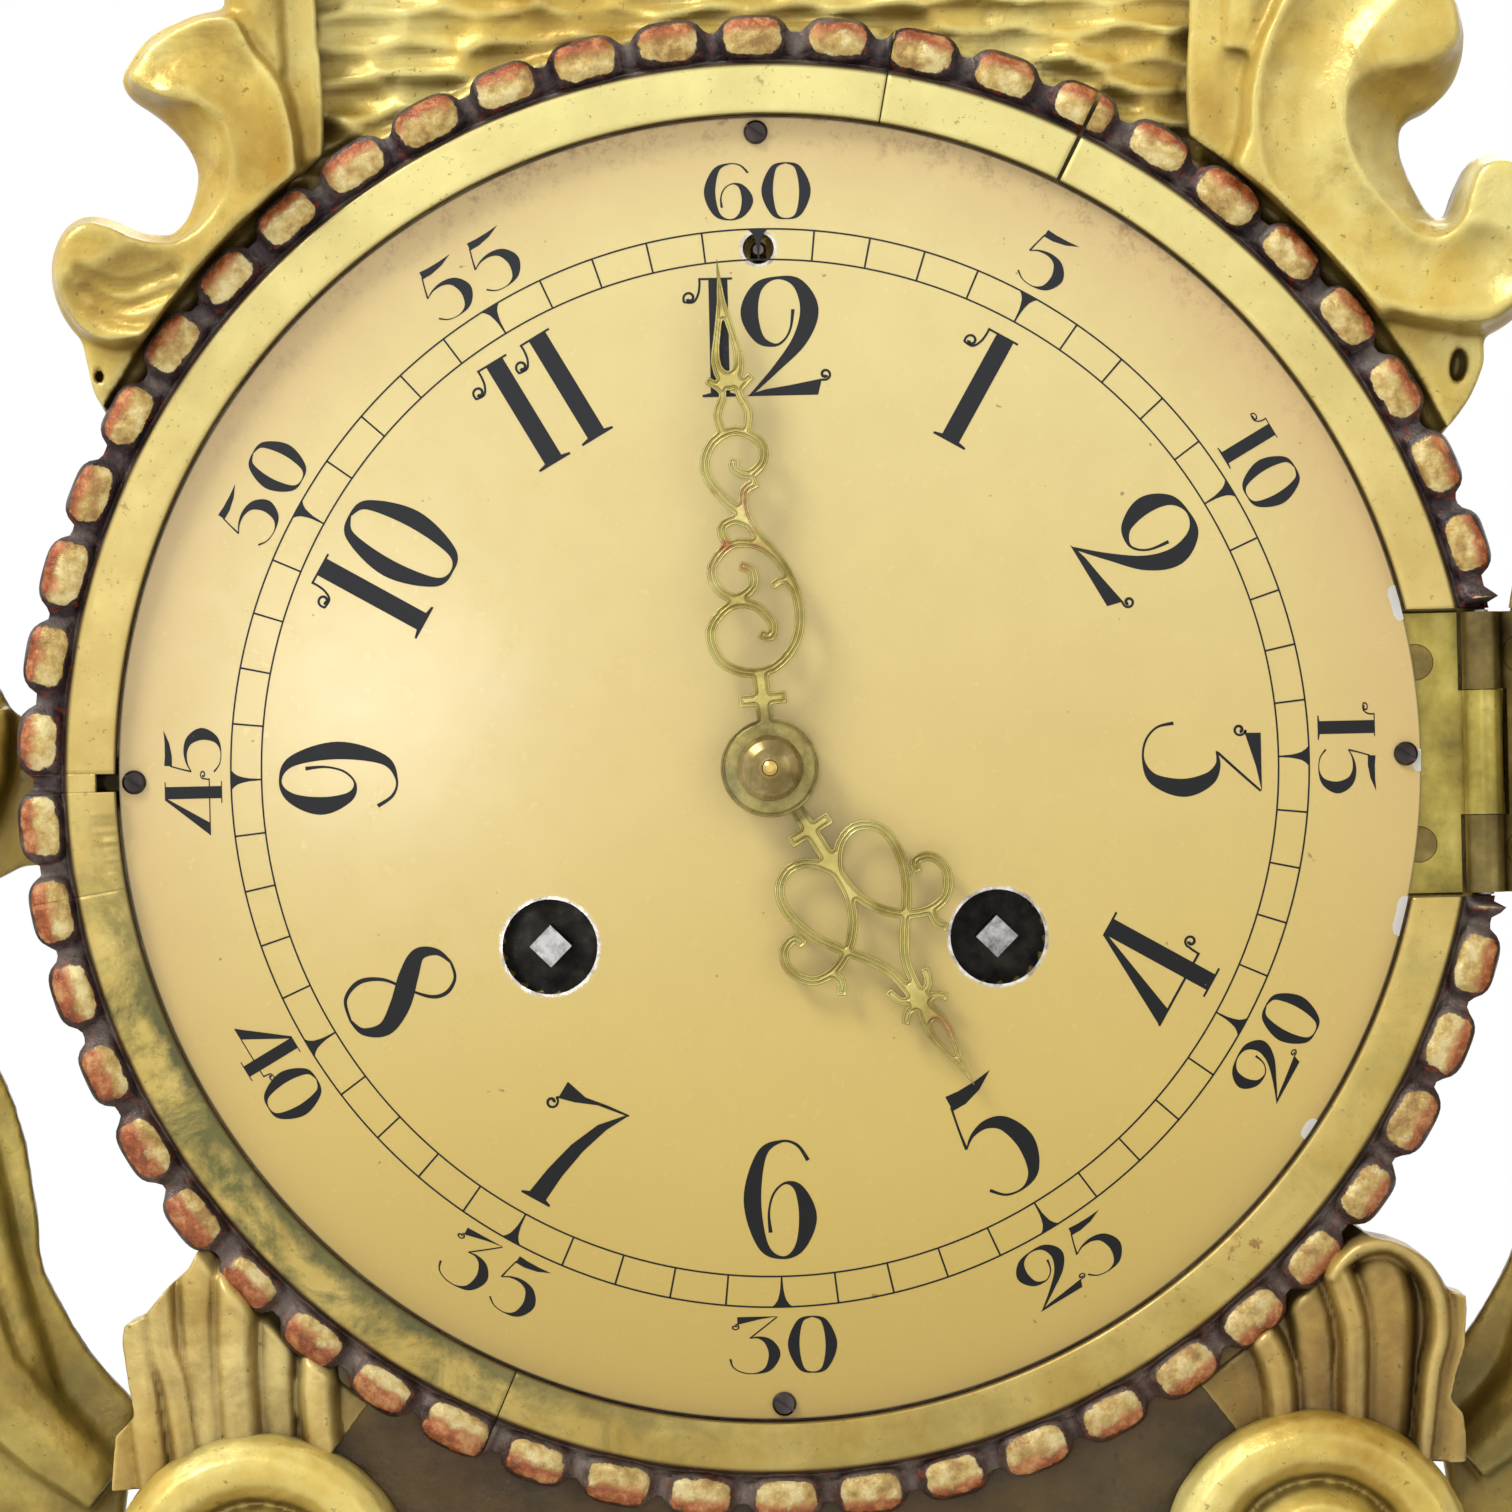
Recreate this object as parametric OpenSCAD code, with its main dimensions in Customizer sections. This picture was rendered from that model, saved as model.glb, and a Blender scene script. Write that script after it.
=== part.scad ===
// Carved giltwood wall clock with a glazed door, a painted dial and a spring movement.
// X is to the right, Y runs back to the wall at 0, Z is up, and the origin is behind the hands.
// Depths below are measured from the wall towards the front.

/* [Dial] */
// Radius of the dial plate
dial_r = 100; // [96:0.5:104]
// Thickness of the dial plate
dial_t = 1; // [0.8:0.1:1.5]
// Gap between the dial and the ring round it
dial_gap = 0.4; // [0.3:0.1:0.8]
// Width of the ledge that the dial lies on
ledge_w = 6; // [5:0.5:8]
// Half the distance between the winding holes
winding_x = 34.4; // [33:0.2:36]
// Height of the winding holes from the hands
winding_z = -26.7; // [-28:0.1:-25]
// Radius of the winding holes
winding_hole_r = 7.3; // [6:0.1:8]
// Height of the regulator hole above the hands
regulator_z = 79.8; // [78:0.1:81]
// Radius of the regulator hole
regulator_hole_r = 2.4; // [2:0.1:3]
// Radius of the head of a dial screw
dial_screw_head_r = 1.85; // [1.6:0.05:2.1]

/* [Ring and beads] */
// Width of the flat face of the gilt ring
ring_face_w = 7.8; // [6:0.1:9]
// Thickness of the gilt ring in front of the board
ring_t = 4; // [3:0.1:5]
// Number of beads round the ring
bead_count = 54; // [50:1:58]
// Length of one bead along the ring
bead_len = 9.2; // [8:0.1:10]
// Width of one bead across the ring
bead_w = 7.4; // [6.5:0.1:8]
// Height of a bead's crown above the ring's flat face
bead_rise = 1.3; // [0.8:0.1:2]

/* [Case] */
// Outer radius of the drum behind the board
drum_r = 111; // [109:0.5:112]
// Wall of the drum
drum_wall = 9.5; // [8:0.5:11]
// Depth of the drum from the wall to the board
drum_depth = 72; // [72:0.5:80]
// Width of the ledge inside the drum's back edge
flange_w = 9; // [8:0.5:10]
// Thickness of that ledge
flange_t = 8; // [6:0.5:9]
// Thickness of the front board
board_t = 14; // [12:0.5:16]
// Radius of the front board behind the beads
board_r = 113; // [112:0.5:114]
// Thickness of the back cover
cover_t = 2; // [1.5:0.1:3]
// Width of the drum's back edge round the cover
cover_rim = 13; // [12:0.5:14]
// Half the width of the gouged panel above the ring
panel_half_w = 74; // [70:1:78]
// Height of the top of the gouged panel above the hands
panel_top = 178; // [170:1:186]
// Height of the lowest point of the board below the hands
board_low = -215; // [-225:1:-205]
// Thickness of the carvings' ground in front of the board
carving_t = 3; // [2:0.5:4]

/* [Door] */
// Angle at which the door stands open
door_open = 135; // [90:1:150]
// Distance of the hinge pin from the edges of the door and the ring
hinge_gap = 1.3; // [1:0.1:1.8]
// Height of the hinge
hinge_h = 43; // [38:1:48]
// Radius of a hinge knuckle
knuckle_r = 3; // [2.8:0.1:3.2]
// Thickness of a hinge leaf
leaf_t = 1.2; // [1:0.1:1.4]
// Width of a hinge leaf from the pin
leaf_w = 14; // [12:0.5:15]
// Radius of the hinge pin
hinge_pin_r = 1.2; // [1:0.05:1.4]
// Outer radius of the door
door_r = 108.2; // [107.5:0.1:108.6]
// Width of the door's frame
bezel_w = 9.5; // [8.5:0.1:10.5]
// Thickness of the door's frame
bezel_t = 10.8; // [10:0.1:12]
// Gap between the closed door and the ring
door_gap = 0.2; // [0.1:0.05:0.4]
// Thickness of the glass
glass_t = 1.6; // [1.4:0.1:2]
// Rise of the domed glass in its middle
glass_rise = 9; // [6:0.5:12]

/* [Hands] */
// Length of the minute hand
minute_len = 78.4; // [74:0.2:80]
// Length of the hour hand
hour_len = 57.7; // [54:0.2:60]
// Thickness of the hands
hand_t = 0.8; // [0.6:0.1:1]
// Width of the lines that the hands are made of
hand_line_w = 1.4; // [1.3:0.1:1.7]
// Angle of the minute hand, clockwise from the top
minute_angle = -4.7; // [-360:0.1:360]
// Angle of the hour hand, clockwise from the top
hour_angle = 148.5; // [0:0.1:360]
// Radius of the minute hand's boss
boss_r = 7.5; // [7:0.1:8]
// Radius of the domed hand nut
nut_r = 5; // [4.5:0.1:5.5]

/* [Movement plates] */
// Half the width of the plates
plate_half_w = 62; // [61.5:0.5:64]
// Height of the top edge of the plates above the hands
plate_top = 87; // [86:0.5:89]
// Height of the lower edge of the plates below the hands
plate_low = -60; // [-63:0.5:-59]
// Thickness of the plates
plate_t = 2; // [1.5:0.1:2.5]
// Distance between the plates
plate_gap = 36; // [36:0.5:37]
// Thickness of the fixing straps
strap_t = 1.5; // [1.2:0.1:2]
// Radius of the pillars
pillar_r = 3; // [2.5:0.1:3.5]
// Running clearance of a pivot in its hole
pivot_gap = 0.05; // [0.03:0.01:0.08]
// Radius of the wheel pivots
pivot_r = 0.6; // [0.5:0.05:0.8]
// Radius of the wheel arbors
arbor_r = 1.3; // [1.1:0.05:1.4]
// Radius of an arbor inside its pinion
neck_r = 0.75; // [0.7:0.05:0.8]

/* [Going train] */
// Teeth of a great wheel
great_teeth = 84; // [84:1:84]
// Tooth module of the great wheels
great_module = 0.6; // [0.59:0.005:0.61]
// Teeth of the intermediate pinion
inter_leaves = 14; // [14:1:14]
// Teeth of the intermediate wheel
inter_teeth = 84; // [84:1:84]
// Tooth module of the intermediate and centre wheels
centre_module = 0.42; // [0.415:0.005:0.425]
// Teeth of the centre pinion
centre_leaves = 14; // [14:1:14]
// Teeth of the centre wheel
centre_teeth = 84; // [84:1:84]
// Leaves of the third pinion
third_leaves = 7; // [7:1:7]
// Teeth of the third wheel
third_teeth = 82; // [82:1:82]
// Tooth module of the third wheel
third_module = 0.38; // [0.375:0.005:0.385]
// Leaves of the escape pinion
escape_leaves = 7; // [7:1:7]
// Teeth of the escape wheel
escape_teeth = 32; // [32:1:32]
// Radius of the escape wheel
escape_r = 10.5; // [10:0.1:11]
// Distance between the escape wheel and the pallet arbor
pallet_dist = 15; // [14.5:0.1:15.5]
// Radius of the spring barrels
barrel_r = 23; // [22:0.5:23.5]
// Length of the spring barrels
barrel_len = 23; // [20:0.5:23.5]
// Thickness of a great wheel
great_t = 2.2; // [2:0.1:2.5]
// Thickness of the other wheels
wheel_t = 1.2; // [1:0.1:1.3]
// Side of the square that the key fits
square_side = 4.6; // [4.2:0.1:5]

/* [Striking train] */
// Leaves of the pin wheel's pinion
pin_leaves = 12; // [12:1:12]
// Teeth of the pin wheel
pin_teeth = 72; // [72:1:72]
// Tooth module of the pin wheel
pin_module = 0.45; // [0.445:0.005:0.455]
// Leaves of the locking wheel's pinion
lock_leaves = 8; // [8:1:8]
// Teeth of the locking wheel
lock_teeth = 63; // [63:1:63]
// Tooth module of the locking wheel
lock_module = 0.4; // [0.395:0.005:0.405]
// Leaves of the fly's pinion
fly_leaves = 7; // [7:1:7]
// Radius of the fly's blades
fly_r = 9; // [8:0.5:10]
// Number of lifting pins on the pin wheel
pin_count = 8; // [8:1:8]

/* [Pendulum and gong] */
// Clearance between the pendulum bob and the drum under it
bob_clearance = 6.5; // [5:0.5:9]
// Height of the pendulum's suspension above the hands
suspension_z = 70; // [68:0.5:71]
// Radius of the pendulum bob
bob_r = 13; // [11:0.5:14]
// Thickness of the pendulum bob
bob_t = 8; // [7:0.5:9]
// Outer radius of the gong's coil
gong_r = 48; // [46:0.5:49]
// Turns of the gong's coil
gong_turns = 3; // [2:1:4]
// Radius of the gong's wire
gong_wire_r = 1.5; // [1.2:0.1:1.6]
// Distance between the turns of the gong, middle to middle
gong_pitch = 6; // [5:0.5:7]

/* [Hidden] */
$fn = 64;

// Depths of the layers, from the wall forwards
board_face = drum_depth + board_t;
dial_face = board_face + dial_t;
ring_face = board_face + ring_t;
front_plate_d = drum_depth - strap_t - plate_t;
back_plate_front = front_plate_d - plate_gap;
back_plate_d = back_plate_front - plate_t;
closed_back = ring_face + door_gap;
hinge_d = board_face - leaf_t + knuckle_r - 0.1;
carving_back = board_face - 10;
carving_face = board_face + carving_t;
carving_leaf_d = drum_depth - 6;

// Ring round the dial
ring_inner_r = dial_r + dial_gap;
ring_outer_r = ring_inner_r + ring_face_w;
bead_mid_r = ring_outer_r + 0.1 + bead_w / 2;
bead_step = 360 / bead_count;
bead_d = board_face + 1;
bead_h = ring_face + bead_rise - bead_d;
bead_outer_r = bead_mid_r + bead_w / 2;
bead_ground_r = bead_outer_r - 1.4;
hinge_slot_h = hinge_h + 1;
hinge_x = max(door_r, ring_outer_r) + hinge_gap;
knuckle_split = 9.5;
knuckle_gap = 0.15;
hinge_screw_at = [for (z = [-14, 14]) [hinge_x - leaf_w + 4, z]];
sight_r = door_r - bezel_w;
rebate_r = sight_r + 2.4;
catch_x = -sight_r - 3.3;
carving_clear_r = max(bead_outer_r, door_r) + 0.3;
drum_bore_r = drum_r - drum_wall;
cover_r = drum_r - cover_rim;
volute_at = [81, -124];
volute_r = 24;
board_hole_r = dial_r - ledge_w;
screw_pitch_r = dial_r - 0.5 - dial_screw_head_r;

// Wood screws, shared by the cover, the straps, the hanging plate and the hinge
sunk_head_r = 2.7;
wood_shank_r = 1.3;
cover_screw_r = cover_r - 3.2;

// Wheel places, seen from the front, from centre distances of the meshing pairs
function mesh_dist(a, b, m) = (a + b) * m / 2;
function meet(a, ra, b, rb) =
    let (v = b - a, l = norm(v), k = (ra * ra - rb * rb + l * l) / (2 * l), h = sqrt(ra * ra - k * k))
    a + v * k / l + [-v[1], v[0]] * h / l;
centre_at = [0, 0];
going_at = [winding_x, winding_z];
striking_at = [-winding_x, winding_z];
inter_centre_dist = mesh_dist(inter_teeth, centre_leaves, centre_module);
inter_great_dist = mesh_dist(great_teeth, inter_leaves, great_module);
inter_at = meet(centre_at, inter_centre_dist, going_at, inter_great_dist);
third_dist = mesh_dist(centre_teeth, third_leaves, centre_module);
third_x = -11;
third_at = [third_x, sqrt(third_dist * third_dist - third_x * third_x)];
escape_dist = mesh_dist(third_teeth, escape_leaves, third_module);
escape_at = [0, third_at[1] + sqrt(escape_dist * escape_dist - third_at[0] * third_at[0])];
pallet_at = escape_at + [0, pallet_dist];
pin_bearing = 100;
pin_dist = mesh_dist(great_teeth, pin_leaves, great_module);
pin_at = striking_at + pin_dist * [cos(pin_bearing), sin(pin_bearing)];
lock_bearing = 60;
lock_dist = mesh_dist(pin_teeth, lock_leaves, pin_module);
lock_at = pin_at + lock_dist * [cos(lock_bearing), sin(lock_bearing)];
fly_bearing = 72;
fly_dist = mesh_dist(lock_teeth, fly_leaves, lock_module);
fly_at = lock_at + fly_dist * [cos(fly_bearing), sin(fly_bearing)];
pin_circle_r = 13.5;
lift_pin_r = 0.7;
hammer_tail_gap = 1.6;
hammer_at = pin_at + [-14, pin_circle_r + lift_pin_r + hammer_tail_gap];

// Depths of the wheels between the plates
great_d = back_plate_front + 3;
barrel_d = great_d + great_t;
inter_wheel_d = barrel_d + barrel_len + 1.2;
pin_wheel_d = inter_wheel_d;
centre_wheel_d = back_plate_front + 20;
third_wheel_d = back_plate_front + 13;
escape_wheel_d = back_plate_front + 6;
lock_wheel_d = back_plate_front + 26;
fly_d = back_plate_front + 1.5;
fly_len = 8;

// Motion work in front of the front plate
strap_face = drum_depth;
motion_d = strap_face + 0.6;
motion_module = 0.5;
cannon_teeth = 12;
minute_teeth = 36;
minute_leaves = 10;
hour_teeth = 40;
// Angle of a toothed wheel at b that puts its teeth in the gaps of the wheel at a
function mate(a, na, turn_a, b, nb) =
    let (v = b - a, phi = atan2(v[1], v[0]))
    phi + 180 - (0.5 - (phi - turn_a) * na / 360) * 360 / nb;
motion_dist = mesh_dist(cannon_teeth, minute_teeth, motion_module);
hour_module = 2 * motion_dist / (minute_leaves + hour_teeth);
minute_wheel_at = motion_dist * [cos(-90), sin(-90)];
hour_pipe_r = 3.4;
cannon_pipe_r = 2.1;
hour_hand_d = dial_face + 2.2;
minute_hand_d = hour_hand_d + hand_t + 1;
nut_d = minute_hand_d + hand_t;
hour_bore_r = cannon_pipe_r + 0.08;
centre_arbor_r = 1.6;
centre_front_r = 1.1;
ratchet_r = 8.6;
ratchet_d = front_plate_d + plate_t + 0.5;
ratchet_t = 1.6;
click_offset = [0, 13.5];
click_stud_r = 1;
key_end_d = dial_face - 3.5;
barrel_arbor_r = 3;
stud_r = 1.2;

// Movement fixing
strap_z = [41, -46];
strap_half_h = 3.4;
strap_in = 50;
strap_foot_r = board_hole_r + 3.6;
plate_edge_r = drum_bore_r - 4;
pillar_places = [[-56, 52], [56, 52], [-56, -54], [56, -54]];
nut_h = 1.4;

// Pendulum parts
gong_d = cover_t + flange_t + 3;
gong_centre = [0, 14];
pendulum_d = (gong_d + back_plate_d) / 2 + 0.25;
pendulum_len = suspension_z + drum_bore_r - bob_clearance - bob_r;
rod_r = 1;
hang_z = drum_r - 6.6;
hang_plate_t = 1.2;

/* Helpers for building */

// Lays a flat outline parallel to the wall at depth d, t thick towards the front
module slab(d, t) {
    translate([0, -d, 0]) rotate([90, 0, 0]) linear_extrude(t) children();
}

// Turns a profile of [radius, depth] points about a line square to the wall
module turned(at, profile) {
    translate([at[0], 0, at[1]]) rotate([90, 0, 0]) rotate_extrude() polygon(profile);
}

// A plain rod square to the wall
module rod(at, r, d0, d1) {
    translate([at[0], -d0, at[1]]) rotate([90, 0, 0]) cylinder(r = r, h = d1 - d0);
}

module both_sides() {
    children();
    mirror([1, 0, 0]) children();
}

// Points of a circular arc
function arc(c, r, a0, a1, n) = [for (i = [0:n]) let (a = a0 + (a1 - a0) * i / n) c + r * [cos(a), sin(a)]];

// A smooth curve through the points p, with k steps between neighbours
function smooth(p, k) =
    let (n = len(p))
    concat(
        [for (i = [0:n - 2], j = [0:k - 1])
            let (t = j / k, a = p[max(i - 1, 0)], b = p[i], c = p[i + 1], e = p[min(i + 2, n - 1)])
            0.5 * ((2 * b) + (c - a) * t + (2 * a - 5 * b + 4 * c - e) * t * t
                + (3 * b - a - 3 * c + e) * t * t * t)],
        [p[n - 1]]);
function heading(q, i) =
    let (v = q[min(i + 1, len(q) - 1)] - q[max(i - 1, 0)])
    [v[0], v[1]] / norm([v[0], v[1]]);

// A flat line of even width along a smooth curve
module line(p, w, k = 3) {
    q = smooth(p, k);
    n = len(q) - 1;
    left = [for (i = [0:n]) let (h = heading(q, i)) q[i] + w / 2 * [-h[1], h[0]]];
    right = [for (i = [n:-1:0]) let (h = heading(q, i)) q[i] - w / 2 * [-h[1], h[0]]];
    polygon(concat(left, right));
}

// A carved strip with a rounded front, as a row of blocks; each point of p is [x, z, half width, height]
function strip_ring(q, i, d, base, sides) =
    let (h = heading(q, i), side = [-h[1], h[0]], w = max(q[i][2], 0.4), up = max(q[i][3], 0.4))
    [for (j = [-1:sides + 1])
        let (a = 180 * min(max(j, 0), sides) / sides, deep = j < 0 || j > sides ? -base : up * sin(a))
        [q[i][0] + side[0] * w * cos(a), -d - deep, q[i][1] + side[1] * w * cos(a)]];
module strip(p, d, base = 2, k = 2, sides = 4) {
    q = smooth(p, k);
    m = sides + 3;
    for (i = [0:len(q) - 2])
        hull() polyhedron(
            concat(strip_ring(q, i, d, base, sides), strip_ring(q, i + 1, d, base, sides)),
            concat([[for (j = [m - 1:-1:0]) j], [for (j = [0:m - 1]) m + j]],
                [for (j = [0:m - 1]) [j, (j + 1) % m, m + (j + 1) % m, m + j]]));
}

// Outline of a toothed wheel; share is the part of the pitch that a tooth fills
function gear(n, m, share, add, ded) =
    let (r = n * m / 2, half = 180 * share / n)
    [for (i = [0:n - 1], k = [0:5])
        let (
            a = 360 * i / n,
            at = [[-1.08, -ded], [-1, 0], [-0.36, add], [0.36, add], [1, 0], [1.08, -ded]][k]
        )
        (r + at[1] * m) * [cos(a + at[0] * half), sin(a + at[0] * half)]];
module wheel_outline(n, m, turn, rim, hub, arms) {
    r = n * m / 2;
    difference() {
        rotate(turn) polygon(gear(n, m, 0.4, 0.9, 1.25));
        if (arms > 0) difference() {
            circle(r = r - 1.25 * m - rim);
            circle(r = hub);
            for (i = [0:arms - 1]) rotate(turn + 360 * i / arms) translate([0, -0.8]) square([r, 1.6]);
        }
    }
}
module pinion_outline(n, m, turn) {
    rotate(turn) polygon(gear(n, m, 0.3, 0.45, 1.35));
}

// An arbor with pivots that run in both plates, thin where its pinion meets a wheel at depth d
module arbor(at, d) {
    turned(at, [
        [0, back_plate_d + 0.2], [pivot_r, back_plate_d + 0.2], [pivot_r, back_plate_front + 0.2],
        [arbor_r, back_plate_front + 0.2], [arbor_r, d - 1], [neck_r, d - 1], [neck_r, d + wheel_t + 1],
        [arbor_r, d + wheel_t + 1], [arbor_r, front_plate_d - 0.2],
        [pivot_r, front_plate_d - 0.2], [pivot_r, front_plate_d + plate_t - 0.2],
        [0, front_plate_d + plate_t - 0.2]]);
}

// A slotted screw whose head lies on the surface at depth d
module screw(at, d, head_r, head_t, shank_r, len) {
    difference() {
        turned(at, [
            [0, d - len], [shank_r * 0.5, d - len + 0.6], [shank_r, d - len + 1.6], [shank_r, d],
            [head_r, d], [head_r, d + head_t * 0.5], [head_r * 0.8, d + head_t], [0, d + head_t]]);
        translate([at[0], -d - head_t, at[1]]) rotate([0, 35, 0])
            cube([head_r * 3, head_t, head_r * 0.28], center = true);
    }
}

/* The carved case */

module case_drum() color("saddlebrown") difference() {
    turned(centre_at, [
        [drum_bore_r - flange_w, cover_t + 0.1], [cover_r + 0.4, cover_t + 0.1], [cover_r + 0.4, 0],
        [drum_r, 0], [drum_r, drum_depth], [drum_bore_r, drum_depth],
        [drum_bore_r, cover_t + flange_t], [drum_bore_r - flange_w, cover_t + flange_t]]);
    slab(front_plate_d + plate_t - 0.2, strap_t + 1) for (s = [-1, 1], z = strap_z) strap_outline(s, z, 0.3);
    for (at = cover_screw_at) rod(at, wood_shank_r + 0.1, -1, 7);
    for (at = hanger_screw_at) sunk_hole(at, 0.1, len = 7);
    slab(-0.1, hang_plate_t + 0.3) hanger_outline(0.2);
    rod([0, hang_z - 0.5], 4.2, -1, 7);
}

module board_outline() {
    circle(r = board_r);
    panel_outline();
    tongue_outline();
}
module panel_outline() {
    polygon([[-panel_half_w, 70], [panel_half_w, 70], [panel_half_w - 4, 130],
        [panel_half_w - 14, panel_top], [14 - panel_half_w, panel_top], [4 - panel_half_w, 130]]);
}
module tongue_outline() {
    polygon([[-78, -64], [78, -64], [84, -130], [52, -160], [22, board_low], [-22, board_low],
        [-52, -160], [-84, -130]]);
}
module front_board() color("goldenrod") difference() {
    union() {
        rod(centre_at, board_r, drum_depth, board_face);
        slab(drum_depth, board_t) panel_outline();
        slab(drum_depth, board_t) tongue_outline();
    }
    rod(centre_at, board_hole_r, drum_depth - 1, board_face + 1);
    for (i = [-7:7]) gouges(i);
    translate([hinge_x - leaf_w, -board_face, -hinge_slot_h / 2])
        cube([leaf_w + 8, leaf_t, hinge_slot_h]);
    translate([hinge_x, -hinge_d, 0]) cylinder(r = knuckle_r + 0.3, h = hinge_slot_h, center = true);
    for (at = hinge_screw_at) rod(at, 1.7, drum_depth + 4, board_face + 1);
    for (a = [0:90:270]) rod(screw_pitch_r * [cos(a), sin(a)], 1, drum_depth + 4, board_face + 1);
    for (at = strap_screw_at) rod(at, wood_shank_r + 0.1, drum_depth - 1, drum_depth + 7);
    catch_slot();
}
// Rows of hollow gouge cuts in one upright band of the panel, higher and lower by turns
gouge_w = 10;
gouge_pitch = 5.4;
gouge_deep = 1.3;
gouge_wave = 1.5;
module gouges(i) {
    foot_x = max(abs(i) - 0.5, 0) * gouge_w;
    low = sqrt(pow(bead_outer_r + 3, 2) - foot_x * foot_x) + gouge_wave * sin(i * 70);
    rows = floor((panel_top - 3 - low) / gouge_pitch);
    translate([i * gouge_w, -board_face, low])
        rotate([90, 0, 90]) linear_extrude(gouge_w, center = true) polygon(concat(
            [for (row = [0:rows - 1], c = [[0, 0], [0.2, 0.6], [0.45, 1], [0.8, 0.7]])
                [gouge_deep * c[1] - 0.1, (row + c[0]) * gouge_pitch]],
            [[-0.1, rows * gouge_pitch], [-2, rows * gouge_pitch], [-2, 0]]));
}
// Slot that the door's catch enters when the door is shut
module catch_slot() {
    translate([catch_x - 1.4, -ring_face - 1, -1.4]) cube([3.3, ring_t + 9, 2.8]);
}
function strap_hole(s, z) = [s * sqrt(strap_foot_r * strap_foot_r - z * z), z];

// Rounded top of a bead, w wide and h high
module bead_section(w, h) {
    foot = board_face - bead_d;
    polygon([for (c = [[-0.5, foot], [-0.5, h * 0.3], [-0.36, h * 0.78], [-0.16, h], [0.16, h],
        [0.36, h * 0.78], [0.5, h * 0.3], [0.5, foot]]) [c[0] * w, c[1]]]);
}
module bead(a) {
    rotate([0, -a, 0]) translate([bead_mid_r, -bead_d, 0]) intersection() {
        linear_extrude(bead_len * 2, center = true) mirror([0, 1]) bead_section(bead_w, bead_h);
        rotate([0, 90, 0]) linear_extrude(bead_w * 2, center = true) mirror([0, 1])
            bead_section(bead_len, bead_h);
        rotate([90, 0, 0]) linear_extrude(20, center = true) polygon([for (c = [0:3], e = [0, 1])
            let (s = [[1, 1], [-1, 1], [-1, -1], [1, -1]][c], cut = (e + c) % 2 == 0 ? [1, 0.62] : [0.62, 1])
            [s[0] * cut[0] * bead_w / 2, s[1] * cut[1] * bead_len / 2]]);
    }
}
module bead_ring() color("gold") difference() {
    union() {
        turned(centre_at, [
            [ring_inner_r, board_face], [bead_ground_r, board_face], [bead_ground_r, bead_d],
            [ring_outer_r, bead_d], [ring_outer_r, ring_face - 0.9],
            [ring_outer_r - 0.9, ring_face], [ring_inner_r + 0.9, ring_face], [ring_inner_r, ring_face - 0.9]]);
        for (i = [0:bead_count - 1])
            if (abs(sin((i + 0.5) * bead_step)) * bead_mid_r > hinge_slot_h / 2 + 1
                || cos((i + 0.5) * bead_step) < 0) bead((i + 0.5) * bead_step);
    }
    translate([ring_inner_r - 3, -ring_face - 10, -hinge_slot_h / 2]) cube([30, 40, hinge_slot_h]);
    catch_slot();
}

// Trims a carving so that it sits on the board's face, round the board's edge and clear of beads and door
module trimmed() difference() {
    children();
    slab(drum_depth - 1, board_t + 1) {
        board_outline();
        circle(r = board_r + 0.1, $fn = 256);
    }
    translate([0, -board_face, 0]) rotate([90, 0, 0]) cylinder(r = carving_clear_r, h = 30, $fn = 128);
}
// A carving between an outline at its back and a smaller face in front; points are [x, z, face x, face z]
module carved_block(p, d, face_d, k = 2) {
    q = smooth(p, k);
    n = len(q);
    levels = [[0, d, 0], [0, face_d - 9, 0], [1, face_d - 0.8, 0], [1, face_d, 0.12]];
    pts = [for (v = levels, i = [0:n - 1])
        let (at = v[0] == 0 ? [q[i][0], q[i][1]] : [q[i][2], q[i][3]],
            inward = v[0] == 0 ? [0, 0] : at - [q[i][0], q[i][1]])
        [at[0] + inward[0] * v[2], -v[1], at[1] + inward[1] * v[2]]];
    walls = [for (v = [0:len(levels) - 2], i = [0:n - 1], f = [0, 1])
        let (a = v * n + i, b = v * n + (i + 1) % n)
        f == 0 ? [a, a + n, b] : [b, a + n, b + n]];
    polyhedron(pts, concat(walls, [[for (i = [0:n - 1]) i]],
        [[for (i = [n - 1:-1:0]) (len(levels) - 1) * n + i]]));
}
// Scroll beside the panel's left edge, drawn on the right, and the larger one on the right
left_scroll_line = [
    [95.6, 66.4, 95.6, 67.8], [98.8, 65.9, 98.6, 67.3], [102.3, 66.6, 101.6, 68], [105.5, 69.2, 104.4, 70.2],
    [107.6, 73, 106.2, 73.5], [108.7, 77.3, 107.2, 77.3], [108.3, 81.4, 106.9, 80.8],
    [106.7, 84.9, 105.6, 83.6], [104.2, 86.9, 103.5, 85.3], [101.4, 87.2, 101, 85.4], [98.4, 86.3, 97.6, 84.3],
    [95.2, 84.7, 94.2, 82.7], [90.7, 83.9, 89.8, 82.2], [88.8, 84.8, 86, 84], [87, 87.7, 82.9, 87.2],
    [86, 91.7, 80.9, 90.8], [86.2, 94.8, 80.4, 94.8], [88.1, 98.5, 81.2, 99.2], [91.3, 101.6, 84.2, 102.7],
    [94.2, 103.8, 89, 103.8], [96.3, 105.4, 94, 106], [97.4, 107.6, 95.8, 107.8], [95.8, 110.6, 94.5, 109.7],
    [92.7, 114.4, 91.8, 113], [86.6, 117.3, 86.2, 115.8], [81.5, 118.2, 81.4, 116.6],
    [77.6, 116.8, 78.6, 115.6], [75.3, 112, 76.7, 111.4], [72.4, 108.6, 73.7, 107.8],
    [70.4, 104.6, 71.9, 104.2], [69.2, 99, 70.6, 98.8], [68.9, 93.8, 70.2, 93.8], [69, 87, 70.4, 87.6],
    [76.5, 80.4, 77.8, 81], [84, 72.6, 85.2, 73.4], [90.4, 66.4, 90.8, 67.6]];
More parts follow.
